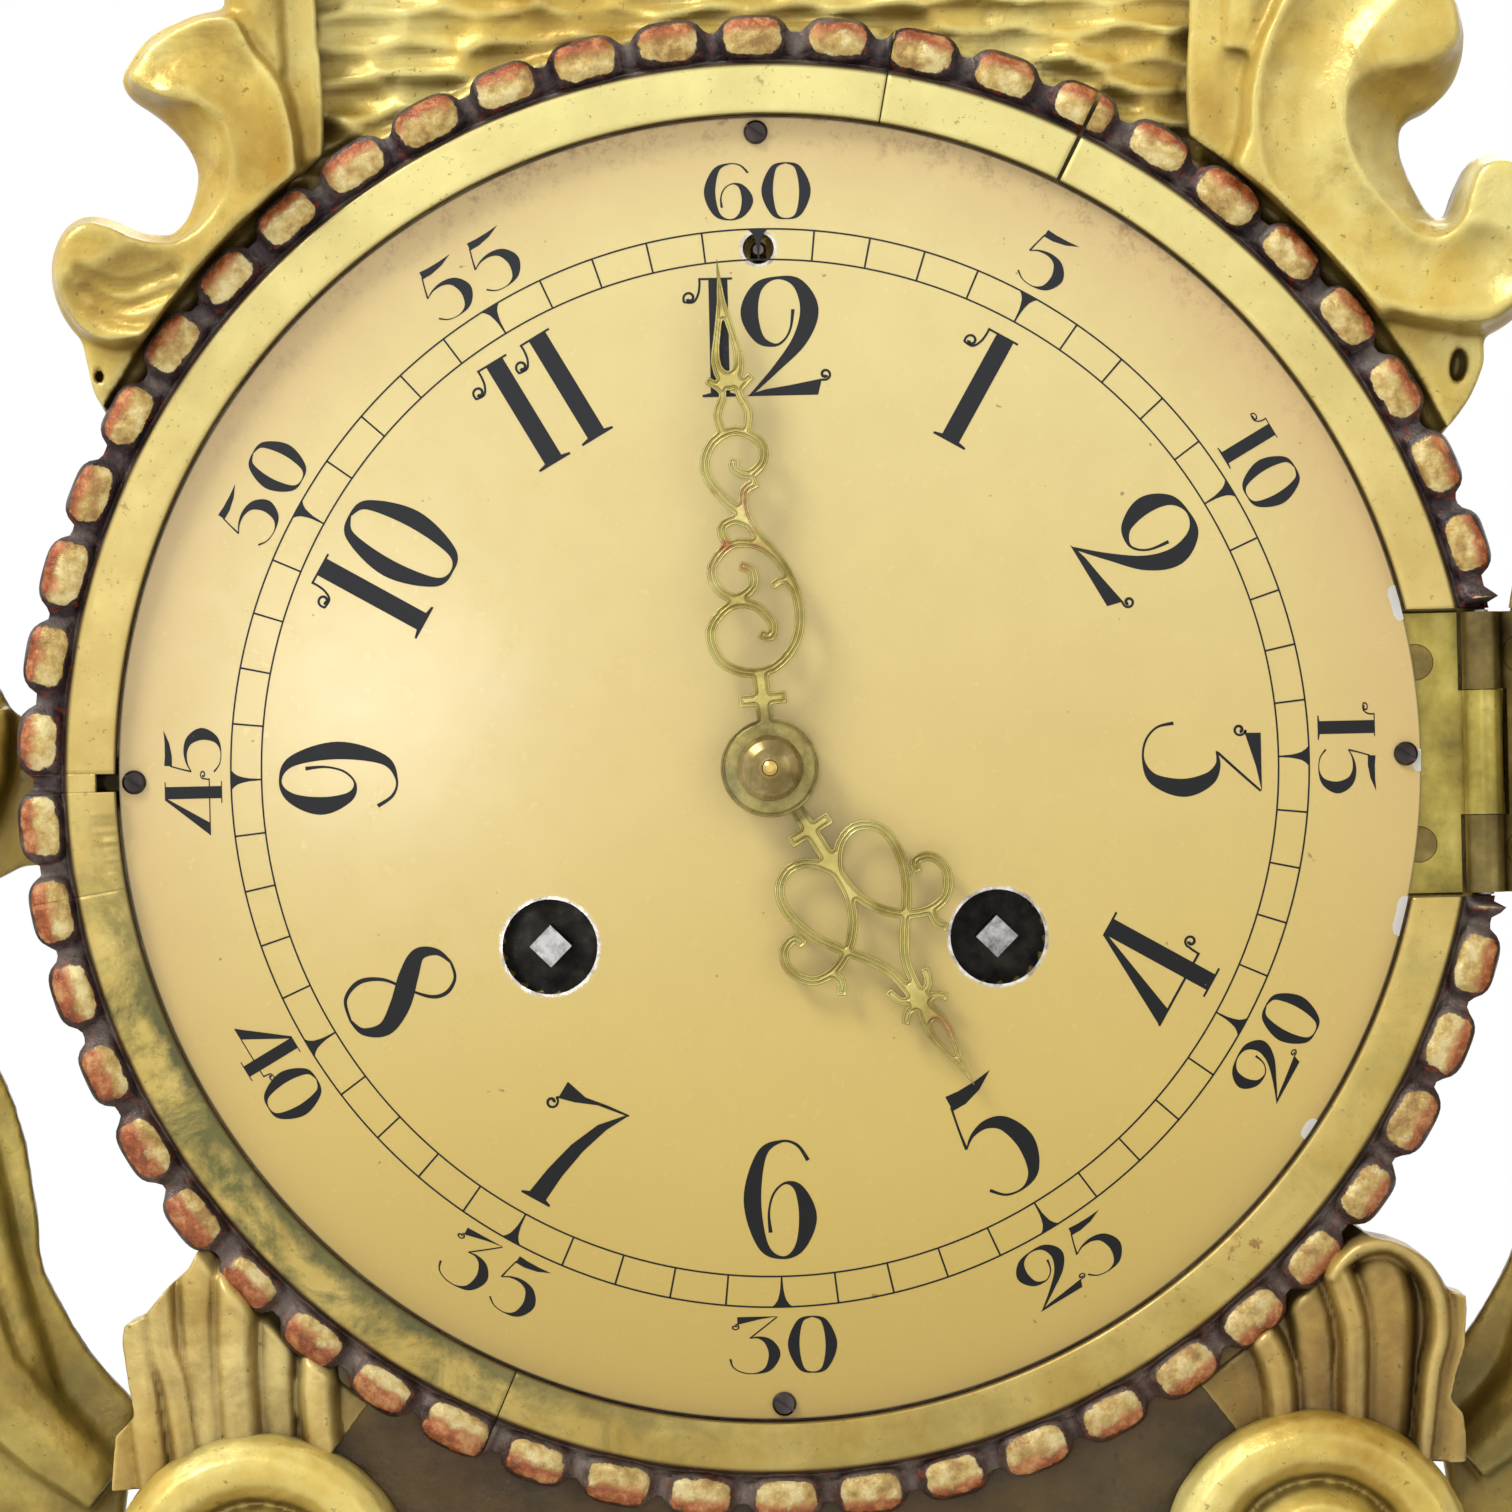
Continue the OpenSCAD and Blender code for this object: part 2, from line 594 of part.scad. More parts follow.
right_scroll_line = [
    [96.2, 66.2, 96.4, 67.6], [103, 64.4, 103, 65.9], [110.7, 63.6, 110.2, 65.2], [116.4, 66.8, 115.3, 68],
    [120.5, 72.5, 119, 73.2], [122, 80, 120.4, 80], [120.5, 87, 119.1, 86.1], [116.6, 91.2, 115.9, 89.7],
    [112.5, 92, 112.5, 90.3], [109.2, 90.4, 109.9, 88.9], [107.2, 86.2, 108.6, 85.6],
    [105.6, 82, 106.8, 80], [103.4, 82.4, 101.6, 78.8], [101.1, 86.2, 95.6, 84], [99.2, 91.2, 91.4, 91],
    [98.8, 95, 90.5, 97.2], [100.4, 97.4, 91.8, 102], [103.9, 99, 96, 104.3], [107.4, 102.8, 102, 104.9],
    [108.9, 107.2, 107, 107.6], [109, 112, 107.5, 112], [107, 118, 105.8, 117.3], [101.5, 123, 101, 121.5],
    [93, 125.4, 92.9, 123.9], [85.5, 123.2, 86.3, 121.9], [80.6, 118.4, 81.8, 117.5],
    [78, 113.6, 79.4, 113], [75.7, 108.4, 77.1, 108], [74.2, 102.4, 75.6, 102.2], [73.6, 95, 75, 95],
    [71, 86, 72.4, 86.6], [78.5, 79, 79.8, 79.6], [86, 70.8, 87.2, 71.4], [91, 65.4, 91.6, 66.6]];
module scroll(outline, husk, hole_at) trimmed() {
    carved_block(outline, carving_back, carving_face + 8);
    slab(carving_back, carving_face - carving_back) polygon(concat(
        arc([0, 0], board_r - 0.5, 44, 54, 3),
        smooth([[66, 104], [67, 121], [66, 134], [58, 150], [53, 163], [58, 170]], 2),
        smooth([[65, 167], [73, 156], [80, 142], [82, 130], [80, 118], [84, 100]], 2)));
    difference() {
        slab(carving_back, carving_face - carving_back) polygon(husk);
        for (at = hole_at) translate([at[0], -carving_face, at[1]]) rotate([90, 12, 0]) scale([1, 2.6, 1])
            cylinder(r = at[2], h = 8, center = true);
    }
    strip([[75, 108, 4, 3], [76.5, 122, 5, 5], [74, 141, 6, 8], [64, 155, 5, 7], [57, 164, 3.5, 6],
        [61, 167, 2, 3]], carving_face);
}
module left_scroll() color("gold") mirror([1, 0, 0])
    scroll(left_scroll_line, [[91, 67], [104.6, 69], [102.6, 60], [99, 52]], [[101.6, 62.6, 0.7]]);
module right_scroll() color("gold")
    scroll(right_scroll_line, [[92, 66], [111, 67], [111.2, 60], [109, 54.4], [103, 47]],
        [[102.4, 62.2, 0.7], [107, 59.4, 1.1]]);

// Acanthus leaf beside the ring, drawn on the right
module side_leaf() {
    outline = concat(
        smooth([[101, -97], [108, -89], [115, -76], [116, -66], [119, -50], [126, -36], [129, -26],
            [124, -17], [117, -13]], 3),
        arc([0, 0], drum_r + 0.04, -6.5, 5, 4),
        smooth([[118, 11], [122, 18], [134, 28], [140, 52], [132, 74]], 3),
        smooth([[146, 66], [158, 40], [164, 20], [176, 8], [170, -14], [180, -34], [168, -54],
            [172, -78], [154, -88], [150, -110], [130, -112], [118, -128], [104, -120]], 3));
    slab(carving_leaf_d - 1, carving_t + 1) polygon(outline);
    for (vein = [
        [[106, -110, 5, 5], [124, -92, 8, 9], [134, -62, 9, 10], [142, -30, 9, 10], [144, 4, 8, 9],
            [150, 34, 6, 7], [138, 68, 2, 3]],
        [[136, -56, 5, 5], [150, -64, 6, 7], [166, -66, 3, 4], [168, -58, 1.5, 2]],
        [[142, -26, 5, 5], [156, -30, 6, 7], [174, -34, 3, 4]],
        [[144, 4, 5, 5], [156, 6, 6, 7], [172, 6, 3, 4]],
        [[122, -92, 5, 5], [136, -98, 6, 7], [150, -102, 3, 4]],
        [[140, -24, 5, 5], [128, -10, 5, 6], [121, 2, 3, 4], [120, 12, 2, 3]],
        [[114, -100, 3, 4], [121, -76, 3, 5], [125, -56, 3, 5], [132, -38, 3, 4]]])
        strip(vein, carving_leaf_d + carving_t);
}
module left_side_leaf() color("gold") mirror([1, 0, 0]) side_leaf();
module right_side_leaf() color("gold") side_leaf();

// Fluted shell between the ring and a volute, drawn on the right
module shell_fan() trimmed() difference() {
    shell_flutes();
    rod(volute_at, volute_r + 0.1, carving_back - 1, carving_face + 20);
}
module shell_flutes() {
    slab(carving_back, carving_face - carving_back) polygon(concat(
        arc([0, 0], board_r - 0.5, -54, -37, 3),
        [[91.6, -73.6], [96.6, -76], [99.8, -81], [104.6, -83.8], [104.4, -93], [102.4, -110], [74, -104]]));
    for (p = [
        [[98.6, -112], [99.8, -98], [100, -88], [98.2, -80.4], [93.6, -76.4], [88.8, -78.4], [86.6, -86]],
        [[89.4, -104], [90.6, -92], [88.4, -84.4], [83.4, -83.4]],
        [[82.6, -104], [83, -95], [80.6, -89], [76.4, -88.4]],
        [[75.6, -104], [75.6, -97], [72.8, -93.6]],
        [[102, -106], [103.4, -95], [103.6, -86]]])
        strip([for (at = p) [at[0], at[1], 1.5, 4]], carving_face, k = 1);
}
module left_shell_fan() color("gold") mirror([1, 0, 0]) shell_fan();
module right_shell_fan() color("gold") shell_fan();

// Rolled end of a scroll under the ring, drawn on the right
module volute() difference() {
    turned(volute_at, [
        [0, carving_back], [volute_r, carving_back], [volute_r, board_face + 5],
        [volute_r - 1, board_face + 9], [volute_r - 3.5, board_face + 11.5],
        [volute_r - 7, board_face + 11.5], [volute_r - 9.5, board_face + 9.5],
        [volute_r - 10.4, board_face + 6], [volute_r - 11.4, board_face + 9],
        [volute_r - 14, board_face + 12.5], [volute_r - 19, board_face + 14], [0, board_face + 14.4]]);
    slab(drum_depth - 1, board_t + 1) board_outline();
}
module left_volute() color("gold") mirror([1, 0, 0]) volute();
module right_volute() color("gold") volute();

module crest() color("gold") trimmed() {
    slab(carving_back, carving_face - carving_back) polygon(concat(
        [[-60, panel_top - 6], [60, panel_top - 6]],
        arc([0, 186], 62, -8, 188, 20)));
    for (i = [-4:4])
        strip([[i * 2, 190, 2, 3], [sin(i * 19) * 34, 190 + cos(i * 19) * 34, 4.4, 7],
            [sin(i * 19) * 62, 190 + cos(i * 19) * 62, 6, 8],
            [sin(i * 19) * 74, 190 + cos(i * 19) * 74, 4, 4]], carving_face, base = 6);
    strip([[0, 176, 8, 5], [0, 196, 11, 11], [0, 214, 6, 8], [0, 222, 1, 3]], carving_face + 3);
    both_sides() strip([[8, 179, 4, 5], [30, 183, 7, 9], [54, 181, 7, 9], [70, 188, 5, 6], [66, 198, 2, 3]],
        carving_face, base = 6);
    strip([[0, 258, 6, 6], [0, 276, 12, 10], [0, 292, 8, 7], [0, 306, 1, 2]], carving_face, base = 6);
}

module bottom_pendant() color("gold") trimmed() difference() {
    pendant();
    both_sides() rod(volute_at, volute_r + 0.1, carving_back - 1, carving_face + 30);
}
module pendant() {
    slab(carving_back, carving_face - carving_back) polygon(smooth([[-58, -132], [-20, -118], [20, -118],
        [58, -132], [50, -158], [36, -176], [30, -200], [16, -232], [6, -268], [-6, -268], [-16, -232],
        [-30, -200], [-36, -176], [-50, -158], [-58, -132]], 2));
    strip([[0, -124, 6, 6], [0, -150, 13, 13], [0, -190, 12, 14], [0, -235, 8, 10], [0, -290, 1, 3]],
        carving_face, base = 6);
    both_sides() {
        strip([[58, -128, 5, 6], [52, -144, 6, 8], [40, -158, 6, 8], [24, -166, 4, 6]], carving_face);
        strip([[8, -140, 3, 5], [22, -158, 6, 9], [30, -182, 6, 8], [22, -204, 3, 4]], carving_face);
        strip([[6, -178, 3, 5], [16, -200, 5, 8], [20, -224, 4, 6], [12, -244, 2, 3]], carving_face);
    }
}

// A screw with a countersunk head, put in from behind at depth d, or from the front with way = -1
module sunk_screw(at, d, way = 1, len = 6) {
    turned(at, [for (p = [[0, 0], [sunk_head_r, 0], [sunk_head_r, 0.2], [wood_shank_r, 1.5],
        [wood_shank_r, len - 1.6], [0, len]]) [p[0], d + way * p[1]]]);
}
module sunk_hole(at, d, way = 1, len = 8) {
    turned(at, [for (p = [[0, -0.5], [sunk_head_r + 0.1, -0.5], [sunk_head_r + 0.1, 0.25],
        [wood_shank_r + 0.1, 1.6], [wood_shank_r + 0.1, len], [0, len]]) [p[0], d + way * p[1]]]);
}
cover_screw_at = [for (a = [45:90:315]) cover_screw_r * [cos(a), sin(a)]];
hanger_screw_at = [for (x = [-10, 10]) [x, hang_z]];
strap_screw_at = [for (x = [-1, 1], z = strap_z) strap_hole(x, z)];

module back_cover() color("tan") difference() {
    rod(centre_at, cover_r, 0, cover_t);
    for (at = cover_screw_at) sunk_hole(at, 0);
    for (r = [30, 45], a = [0:30:330]) rod(r * [cos(a), sin(a)], 3, -1, cover_t + 1);
}

// Screws into wood, all of one kind: four in the cover, two in the hanging plate, four in the straps
module case_screws() color("dimgray") {
    for (at = cover_screw_at) sunk_screw(at, 0.05);
    for (at = hanger_screw_at) sunk_screw(at, 0.1);
    for (at = strap_screw_at) sunk_screw(at, front_plate_d + plate_t + 0.05);
}

module hanger_outline(more) {
    translate([-14 - more, hang_z - 5 - more]) square([28 + 2 * more, 10 + 2 * more]);
}
module hanging_plate() color("silver") difference() {
    slab(0.05, hang_plate_t) difference() {
        hanger_outline(0);
        translate([0, hang_z - 1.4]) circle(r = 2.8);
        translate([-1.3, hang_z - 1]) square([2.6, 4.4]);
    }
    for (at = hanger_screw_at) sunk_hole(at, 0.05);
}

/* The dial */

module dial() color("khaki") difference() {
    rod(centre_at, dial_r, board_face, dial_face);
    rod(centre_at, 5.2, board_face - 1, dial_face + 1);
    for (x = [-1, 1]) rod([x * winding_x, winding_z], winding_hole_r, board_face - 1, dial_face + 1);
    rod([0, regulator_z], regulator_hole_r, board_face - 1, dial_face + 1);
    for (a = [0:90:270]) rod(screw_pitch_r * [cos(a), sin(a)], 1.1, board_face - 1, dial_face + 1);
    catch_slot();
}
module dial_screws() color("midnightblue")
    for (a = [0:90:270]) screw(screw_pitch_r * [cos(a), sin(a)], dial_face, dial_screw_head_r, 0.9, 0.9, 6);

/* The hinge and the door */

module knuckle(z0, z1) {
    translate([hinge_x, -hinge_d, z0]) cylinder(r = knuckle_r, h = z1 - z0);
}
module pin_bore() {
    translate([hinge_x, -hinge_d, 0]) cylinder(r = hinge_pin_r + pivot_gap, h = 3 * hinge_h, center = true);
}
module hinge_case_leaf() color("goldenrod") difference() {
    union() {
        translate([hinge_x - leaf_w, -board_face, -hinge_h / 2])
            cube([leaf_w - knuckle_r - 0.5, leaf_t, hinge_h]);
        translate([hinge_x - leaf_w, -board_face, -knuckle_split]) cube([leaf_w, leaf_t, 2 * knuckle_split]);
        knuckle(-knuckle_split, knuckle_split);
    }
    pin_bore();
    for (at = hinge_screw_at) sunk_hole(at, board_face, way = -1);
    rod([screw_pitch_r, 0], 1.5, drum_depth, board_face + 1);
}
module hinge_pin() color("gray")
    translate([hinge_x, -hinge_d, 0]) cylinder(r = hinge_pin_r, h = hinge_h + 0.6, center = true);
module hinge_case_screws() color("goldenrod")
    for (at = hinge_screw_at) sunk_screw(at, board_face - 0.05, way = -1);

// The door is drawn closed and turned open about the hinge pin
module swing_open() {
    translate([hinge_x, -hinge_d, 0]) rotate([0, 0, door_open]) translate([-hinge_x, hinge_d, 0]) children();
}
glass_seat = closed_back + 6.8;
glass_rim_r = rebate_r - 0.1;
door_leaf_d = hinge_d + knuckle_r - 0.1 - leaf_t;
door_leaf_w = hinge_x - rebate_r - 0.6;
door_screw_at = [for (z = [-15, 15]) [hinge_x - door_leaf_w + 2.2, z]];
module door_frame() color("gold") swing_open() difference() {
    turned(centre_at, [
        [rebate_r, closed_back], [door_r, closed_back], [door_r, closed_back + 4.6],
        [door_r - 1, closed_back + 8], [door_r - 3, closed_back + 10.2],
        [door_r - 5, closed_back + bezel_t], [door_r - 7.2, closed_back + 9.6],
        [sight_r, closed_back + 7.6], [sight_r, glass_seat], [rebate_r, glass_seat]]);
    translate([hinge_x, -hinge_d, 0]) cylinder(r = knuckle_r + 0.4, h = hinge_slot_h, center = true);
    translate([hinge_x - door_leaf_w - 0.3, -door_leaf_d - leaf_t - 0.05, -hinge_slot_h / 2])
        cube([leaf_w, 5, hinge_slot_h]);
    for (at = door_screw_at) rod(at, wood_shank_r + 0.3, door_leaf_d, door_leaf_d + 6.6);
    translate([catch_x - 3.2, -closed_back - 1.1, -6.2]) cube([4.2, 2, 12.4]);
}
function dome(r, rise, d, n) =
    let (big = (r * r + rise * rise) / (2 * rise), a = asin(r / big))
    [for (i = [0:n]) [big * sin(a * (1 - i / n)), d + rise - big + big * cos(a * (1 - i / n))]];
module door_glass() color("aliceblue", 0.4) swing_open()
    turned(centre_at, concat(
        [[glass_rim_r, glass_seat - glass_t - 0.1], [glass_rim_r, glass_seat - 0.1]],
        dome(sight_r - 0.3, glass_rise, glass_seat - 0.1, 12),
        [for (i = [12:-1:0]) dome(sight_r - 0.3, glass_rise, glass_seat - 0.1 - glass_t, 12)[i]]));
module glass_retainer() color("goldenrod") swing_open()
    turned(centre_at, [
        [sight_r + 0.6, glass_seat - glass_t - 1.2], [glass_rim_r, glass_seat - glass_t - 1.2],
        [glass_rim_r, glass_seat - glass_t - 0.15], [sight_r + 0.6, glass_seat - glass_t - 0.15]]);
module hinge_door_leaf() color("goldenrod") swing_open() difference() {
    union() {
        for (s = [-1, 1]) {
            translate([0, 0, s * (knuckle_split + knuckle_gap)]) scale([1, 1, s]) {
                translate([hinge_x - door_leaf_w, -door_leaf_d - leaf_t, 0])
                    cube([door_leaf_w, leaf_t, hinge_h / 2 - knuckle_split - knuckle_gap]);
                knuckle(0, hinge_h / 2 - knuckle_split - knuckle_gap);
            }
        }
        translate([hinge_x - door_leaf_w, -door_leaf_d - leaf_t, -knuckle_split - 1])
            cube([door_leaf_w - knuckle_r - 0.5, leaf_t, 2 * knuckle_split + 2]);
    }
    pin_bore();
    for (at = door_screw_at) sunk_hole(at, door_leaf_d);
}
module hinge_door_screws() color("goldenrod") swing_open()
    for (at = door_screw_at) sunk_screw(at, door_leaf_d + 0.05);
module door_catch() color("goldenrod") swing_open() {
    translate([catch_x - 3, -closed_back - 1, -6]) cube([3.8, 0.95, 12]);
    translate([catch_x - 0.8, -closed_back - 0.5, -1]) cube([1.6, 7.5, 2]);
}

/* The hands, drawn pointing up and turned to the time shown */

module hand(angle, d) {
    slab(d, hand_t) rotate(-angle) offset(delta = 0.05) children();
}
module collar(z, w) {
    translate([-w / 2, z - 0.9]) square([w, 1.8]);
}
module minute_hand() color("darkkhaki") difference() {
    hand(minute_angle, minute_hand_d) {
        circle(r = boss_r);
        translate([-1.2, 0]) square([2.4, 14.8]);
        collar(10.6, 7.2);
        line([[0.6, 20.6], [2.2, 20], [2.6, 22.2], [0.2, 25], [-3.6, 25.3], [-6.9, 21.8], [-5.9, 17.2],
            [-2.2, 14.9], [2.2, 15.2], [5.8, 18.6], [7, 23.2], [6.2, 28.2], [4, 32.6], [1.5, 36],
            [0.2, 39.4], [0.5, 42.6], [2.6, 43.6]], hand_line_w);
        line([[4.6, 31.8], [1.6, 34.2], [-2.4, 34.6], [-5.6, 31.6], [-5.2, 28.2], [-2.6, 26.4],
            [0.2, 27.8], [0.3, 30.4], [-1.4, 31.2]], hand_line_w);
        line([[1, 37.2], [-1.4, 38.4], [-3.6, 37.2], [-2.8, 34.4]], hand_line_w);
        line([[0.3, 38.6], [-3, 42], [-5.2, 46.4], [-3.6, 50.4], [0.2, 51.9], [3.7, 49.8], [3.8, 46.8],
            [1.5, 45], [-0.7, 46.2], [-0.4, 47.6]], hand_line_w);
        line([[6.6, 26.6], [5, 28.4], [3.2, 27.6]], hand_line_w * 0.8);
        for (s = [-1, 1])
            line([[s * 1.8, 51.6], [s * 2.4, 54.6], [s * 1.2, 57.8], [s * 3.4, 60]], hand_line_w * 0.8);
        difference() {
            polygon(smooth([[0, minute_len], [0.6, 72], [1.8, 66], [2.5, 62.6], [1.7, 59.4], [0, 58],
                [-1.7, 59.4], [-2.5, 62.6], [-1.8, 66], [-0.6, 72], [0, minute_len]], 2));
            polygon(smooth([[0, 69.6], [1, 65], [1, 62], [0, 61], [-1, 62], [-1, 65], [0, 69.6]], 2));
        }
    }
    rod(centre_at, centre_front_r + 0.05, minute_hand_d - 1, nut_d + 1);
}
module hour_hand() color("darkkhaki") difference() {
    union() {
        hand(hour_angle, hour_hand_d) {
            circle(r = 5.8);
            translate([-1.1, 0]) square([2.2, 19]);
            collar(11.3, 7.2);
            for (s = [-1, 1]) {
                line([[s * 0.3, 18.6], [s * 2.6, 15.6], [s * 6, 14.6], [s * 8.9, 16.4], [s * 9.8, 20],
                    [s * 8.6, 25], [s * 6, 29.2], [s * 3.2, 33], [s * 1.2, 37], [s * 0.4, 43.6]], hand_line_w);
                line([[s * 0.2, 18.4], [s * 0.4, 22.6], [s * 2, 26.6], [s * 5, 29.8], [s * 8.8, 31.5],
                    [s * 12.3, 30.9], [s * 14.3, 27.6], [s * 13.4, 24.7], [s * 11, 24], [s * 10.4, 25.6]],
                    hand_line_w);
                line([[s * 9.2, 31.4], [s * 8.6, 33.4], [s * 9.6, 35.2]], hand_line_w);
                line([[0, 42], [s * 2.4, 41], [s * 3.3, 38.6]], hand_line_w * 0.8);
                line([[0, 43.4], [s * 2.2, 42.8], [s * 3.8, 44.2]], hand_line_w * 0.8);
            }
            difference() {
                polygon(smooth([[0, hour_len], [0.8, 53], [1.9, 48.4], [1.5, 44.6], [0, 41.4], [-1.5, 44.6],
                    [-1.9, 48.4], [-0.8, 53], [0, hour_len]], 2));
                polygon(smooth([[0, 53], [0.9, 48.6], [0.6, 46.4], [-0.6, 46.4], [-0.9, 48.6], [0, 53]], 2));
            }
        }
        rod(centre_at, hour_pipe_r + 1, dial_face + 0.6, hour_hand_d + 0.2);
    }
    rod(centre_at, hour_pipe_r + 0.02, 0, 200);
}
module hand_nut() color("darkgoldenrod") difference() {
    turned(centre_at, [[0, nut_d], [nut_r, nut_d], [nut_r, nut_d + 0.7], [nut_r - 0.7, nut_d + 1.5],
        [nut_r - 2, nut_d + 2.3], [nut_r - 3.3, nut_d + 2.8], [0, nut_d + 2.8]]);
    rod(centre_at, centre_front_r + 0.02, 0, 200);
}

/* The motion work behind the dial */

cannon_turn = 0;
minute_turn = mate(centre_at, cannon_teeth, cannon_turn, minute_wheel_at, minute_teeth);
hour_turn = mate(minute_wheel_at, minute_leaves, 0, centre_at, hour_teeth);
module cannon_pinion() color("silver") difference() {
    union() {
        slab(motion_d, 3) pinion_outline(cannon_teeth, motion_module, cannon_turn);
        rod(centre_at, cannon_pipe_r, motion_d + 2, minute_hand_d);
    }
    rod(centre_at, centre_front_r + 0.03, 0, 200);
}
module minute_wheel() color("khaki") difference() {
    translate([minute_wheel_at[0], 0, minute_wheel_at[1]]) {
        slab(motion_d + 0.9, wheel_t) wheel_outline(minute_teeth, motion_module, minute_turn, 1.4, 3, 0);
        slab(motion_d + 1.5, 5) pinion_outline(minute_leaves, hour_module, 0);
    }
    rod(minute_wheel_at, stud_r + pivot_gap, 0, 200);
}
module hour_wheel() color("khaki") difference() {
    union() {
        slab(motion_d + 3.8, wheel_t) wheel_outline(hour_teeth, hour_module, hour_turn, 1.4, 4, 0);
        rod(centre_at, hour_pipe_r, motion_d + 4.4, hour_hand_d + hand_t + 0.2);
    }
    rod(centre_at, hour_bore_r, 0, 200);
}

/* The plates */

wheel_pivots = [inter_at, third_at, escape_at, pin_at, lock_at, fly_at];
hammer_arbor_r = 1.1;
pallet_arbor_r = 0.9;
module plate_outline() intersection() {
    polygon([[-plate_half_w, plate_low], [plate_half_w, plate_low], [plate_half_w, 58],
        [plate_half_w - 20, plate_top], [20 - plate_half_w, plate_top], [-plate_half_w, 58]]);
    circle(r = plate_edge_r);
}
module front_plate() color("goldenrod") {
    difference() {
        slab(front_plate_d, plate_t) plate_outline();
        for (at = concat(wheel_pivots, [pallet_at, hammer_at])) hole(at, pivot_r);
        hole(centre_at, centre_arbor_r);
        for (at = [going_at, striking_at]) hole(at, 2.6);
        hole([0, regulator_z], stud_r);
        for (at = pillar_places) hole(at, 1.5);
        for (x = [-1, 1], z = strap_z) hole([x * (strap_in + 4), z], 1.5);
    }
    turned(minute_wheel_at, [[0, front_plate_d + 1], [2.6, front_plate_d + 1], [2.6, motion_d + 0.7],
        [stud_r, motion_d + 0.7], [stud_r, motion_d + 7], [0, motion_d + 7]]);
    for (at = [going_at, striking_at])
        turned(at + click_offset, [[0, front_plate_d + 1], [2, front_plate_d + 1], [2, ratchet_d - 0.1],
            [click_stud_r, ratchet_d - 0.1], [click_stud_r, ratchet_d + ratchet_t + 0.6],
            [0, ratchet_d + ratchet_t + 0.6]]);
}
module hole(at, r) {
    rod(at, r + pivot_gap, 0, 200);
}
module back_plate() color("goldenrod") difference() {
    slab(back_plate_d, plate_t) plate_outline();
    for (at = wheel_pivots) hole(at, pivot_r);
    hole(pallet_at, pallet_arbor_r);
    hole(hammer_at, hammer_arbor_r);
    hole(centre_at, 1);
    for (at = [going_at, striking_at]) hole(at, 2.2);
    hole([0, regulator_z], stud_r);
    for (at = pillar_places) rod(at, 1.83, 0, 200);
    for (x = [-6, 6]) rod([x, 64.5], 1.03, 0, 200);
}
module pillars() color("goldenrod")
    for (at = pillar_places)
        turned(at, [[0, back_plate_d], [1.8, back_plate_d], [1.8, back_plate_front],
            [pillar_r + 1, back_plate_front], [pillar_r + 1, back_plate_front + 2],
            [pillar_r, back_plate_front + 3], [pillar_r, front_plate_d - 3],
            [pillar_r + 1, front_plate_d - 2], [pillar_r + 1, front_plate_d], [1.5, front_plate_d],
            [1.5, front_plate_d + plate_t + nut_h + 0.4], [0, front_plate_d + plate_t + nut_h + 0.4]]);
module pillar_nuts() color("silver")
    for (at = pillar_places) difference() {
        translate([at[0], 0, at[1]]) slab(front_plate_d + plate_t, nut_h) circle(r = 3, $fn = 6);
        rod(at, 1.53, 0, 200);
    }
module strap_outline(s, z, more) {
    w = strap_half_h + more;
    foot = strap_hole(s, z);
    translate([s > 0 ? strap_in : foot[0], z - w]) square([abs(foot[0]) - strap_in, 2 * w]);
    translate(foot) circle(r = w);
}
module fixing_straps() color("goldenrod")
    for (s = [-1, 1], z = strap_z) difference() {
        union() {
            slab(front_plate_d + plate_t, strap_t) strap_outline(s, z, 0);
            rod([s * (strap_in + 4), z], 1.5, front_plate_d + 0.1, front_plate_d + plate_t + 1);
        }
        sunk_hole(strap_hole(s, z), front_plate_d + plate_t);
    }

/* The going train */

module toothed(at, d, t, n, m, turn, rim, hub, arms) {
    translate([at[0], 0, at[1]]) slab(d, t) wheel_outline(n, m, turn, rim, hub, arms);
}
module leaves(at, d0, d1, n, m, turn) {
    translate([at[0], 0, at[1]]) slab(d0, d1 - d0) pinion_outline(n, m, turn);
}
inter_pinion_turn = mate(going_at, great_teeth, 0, inter_at, inter_leaves);
centre_pinion_turn = mate(inter_at, inter_teeth, 0, centre_at, centre_leaves);
third_pinion_turn = mate(centre_at, centre_teeth, 0, third_at, third_leaves);
escape_pinion_turn = mate(third_at, third_teeth, 0, escape_at, escape_leaves);
module centre_wheel() color("khaki") {
    turned(centre_at, [[0, back_plate_d + 0.2], [1, back_plate_d + 0.2], [1, back_plate_front + 0.2],
        [centre_arbor_r, back_plate_front + 0.2], [centre_arbor_r, front_plate_d + plate_t + 0.6],
        [centre_front_r, front_plate_d + plate_t + 0.6], [centre_front_r, nut_d + 3],
        [0.6, nut_d + 3.3], [0, nut_d + 3.3]]);
    toothed(centre_at, centre_wheel_d, wheel_t, centre_teeth, centre_module, 0, 1.6, 4, 4);
    rod(centre_at, 3, centre_wheel_d - 2, centre_wheel_d + 0.5);
    leaves(centre_at, inter_wheel_d - 1, inter_wheel_d + wheel_t + 1, centre_leaves, centre_module,
        centre_pinion_turn);
}
module barrel(at) {
    difference() {
        union() {
            toothed(at, great_d, great_t, great_teeth, great_module, 0, 0, 0, 0);
            rod(at, barrel_r, barrel_d - 0.5, barrel_d + barrel_len);
        }
        rod(at, barrel_r - 1, barrel_d + 0.6, barrel_d + barrel_len - 1.2);
        rod(at, barrel_arbor_r + pivot_gap, 0, 200);
    }
}
module ratchet_outline() {
    polygon([for (i = [0:17], k = [0, 1])
        let (a = -i * 20 - k * 3) (k == 0 ? ratchet_r : ratchet_r - 1.5) * [cos(a), sin(a)]]);
}
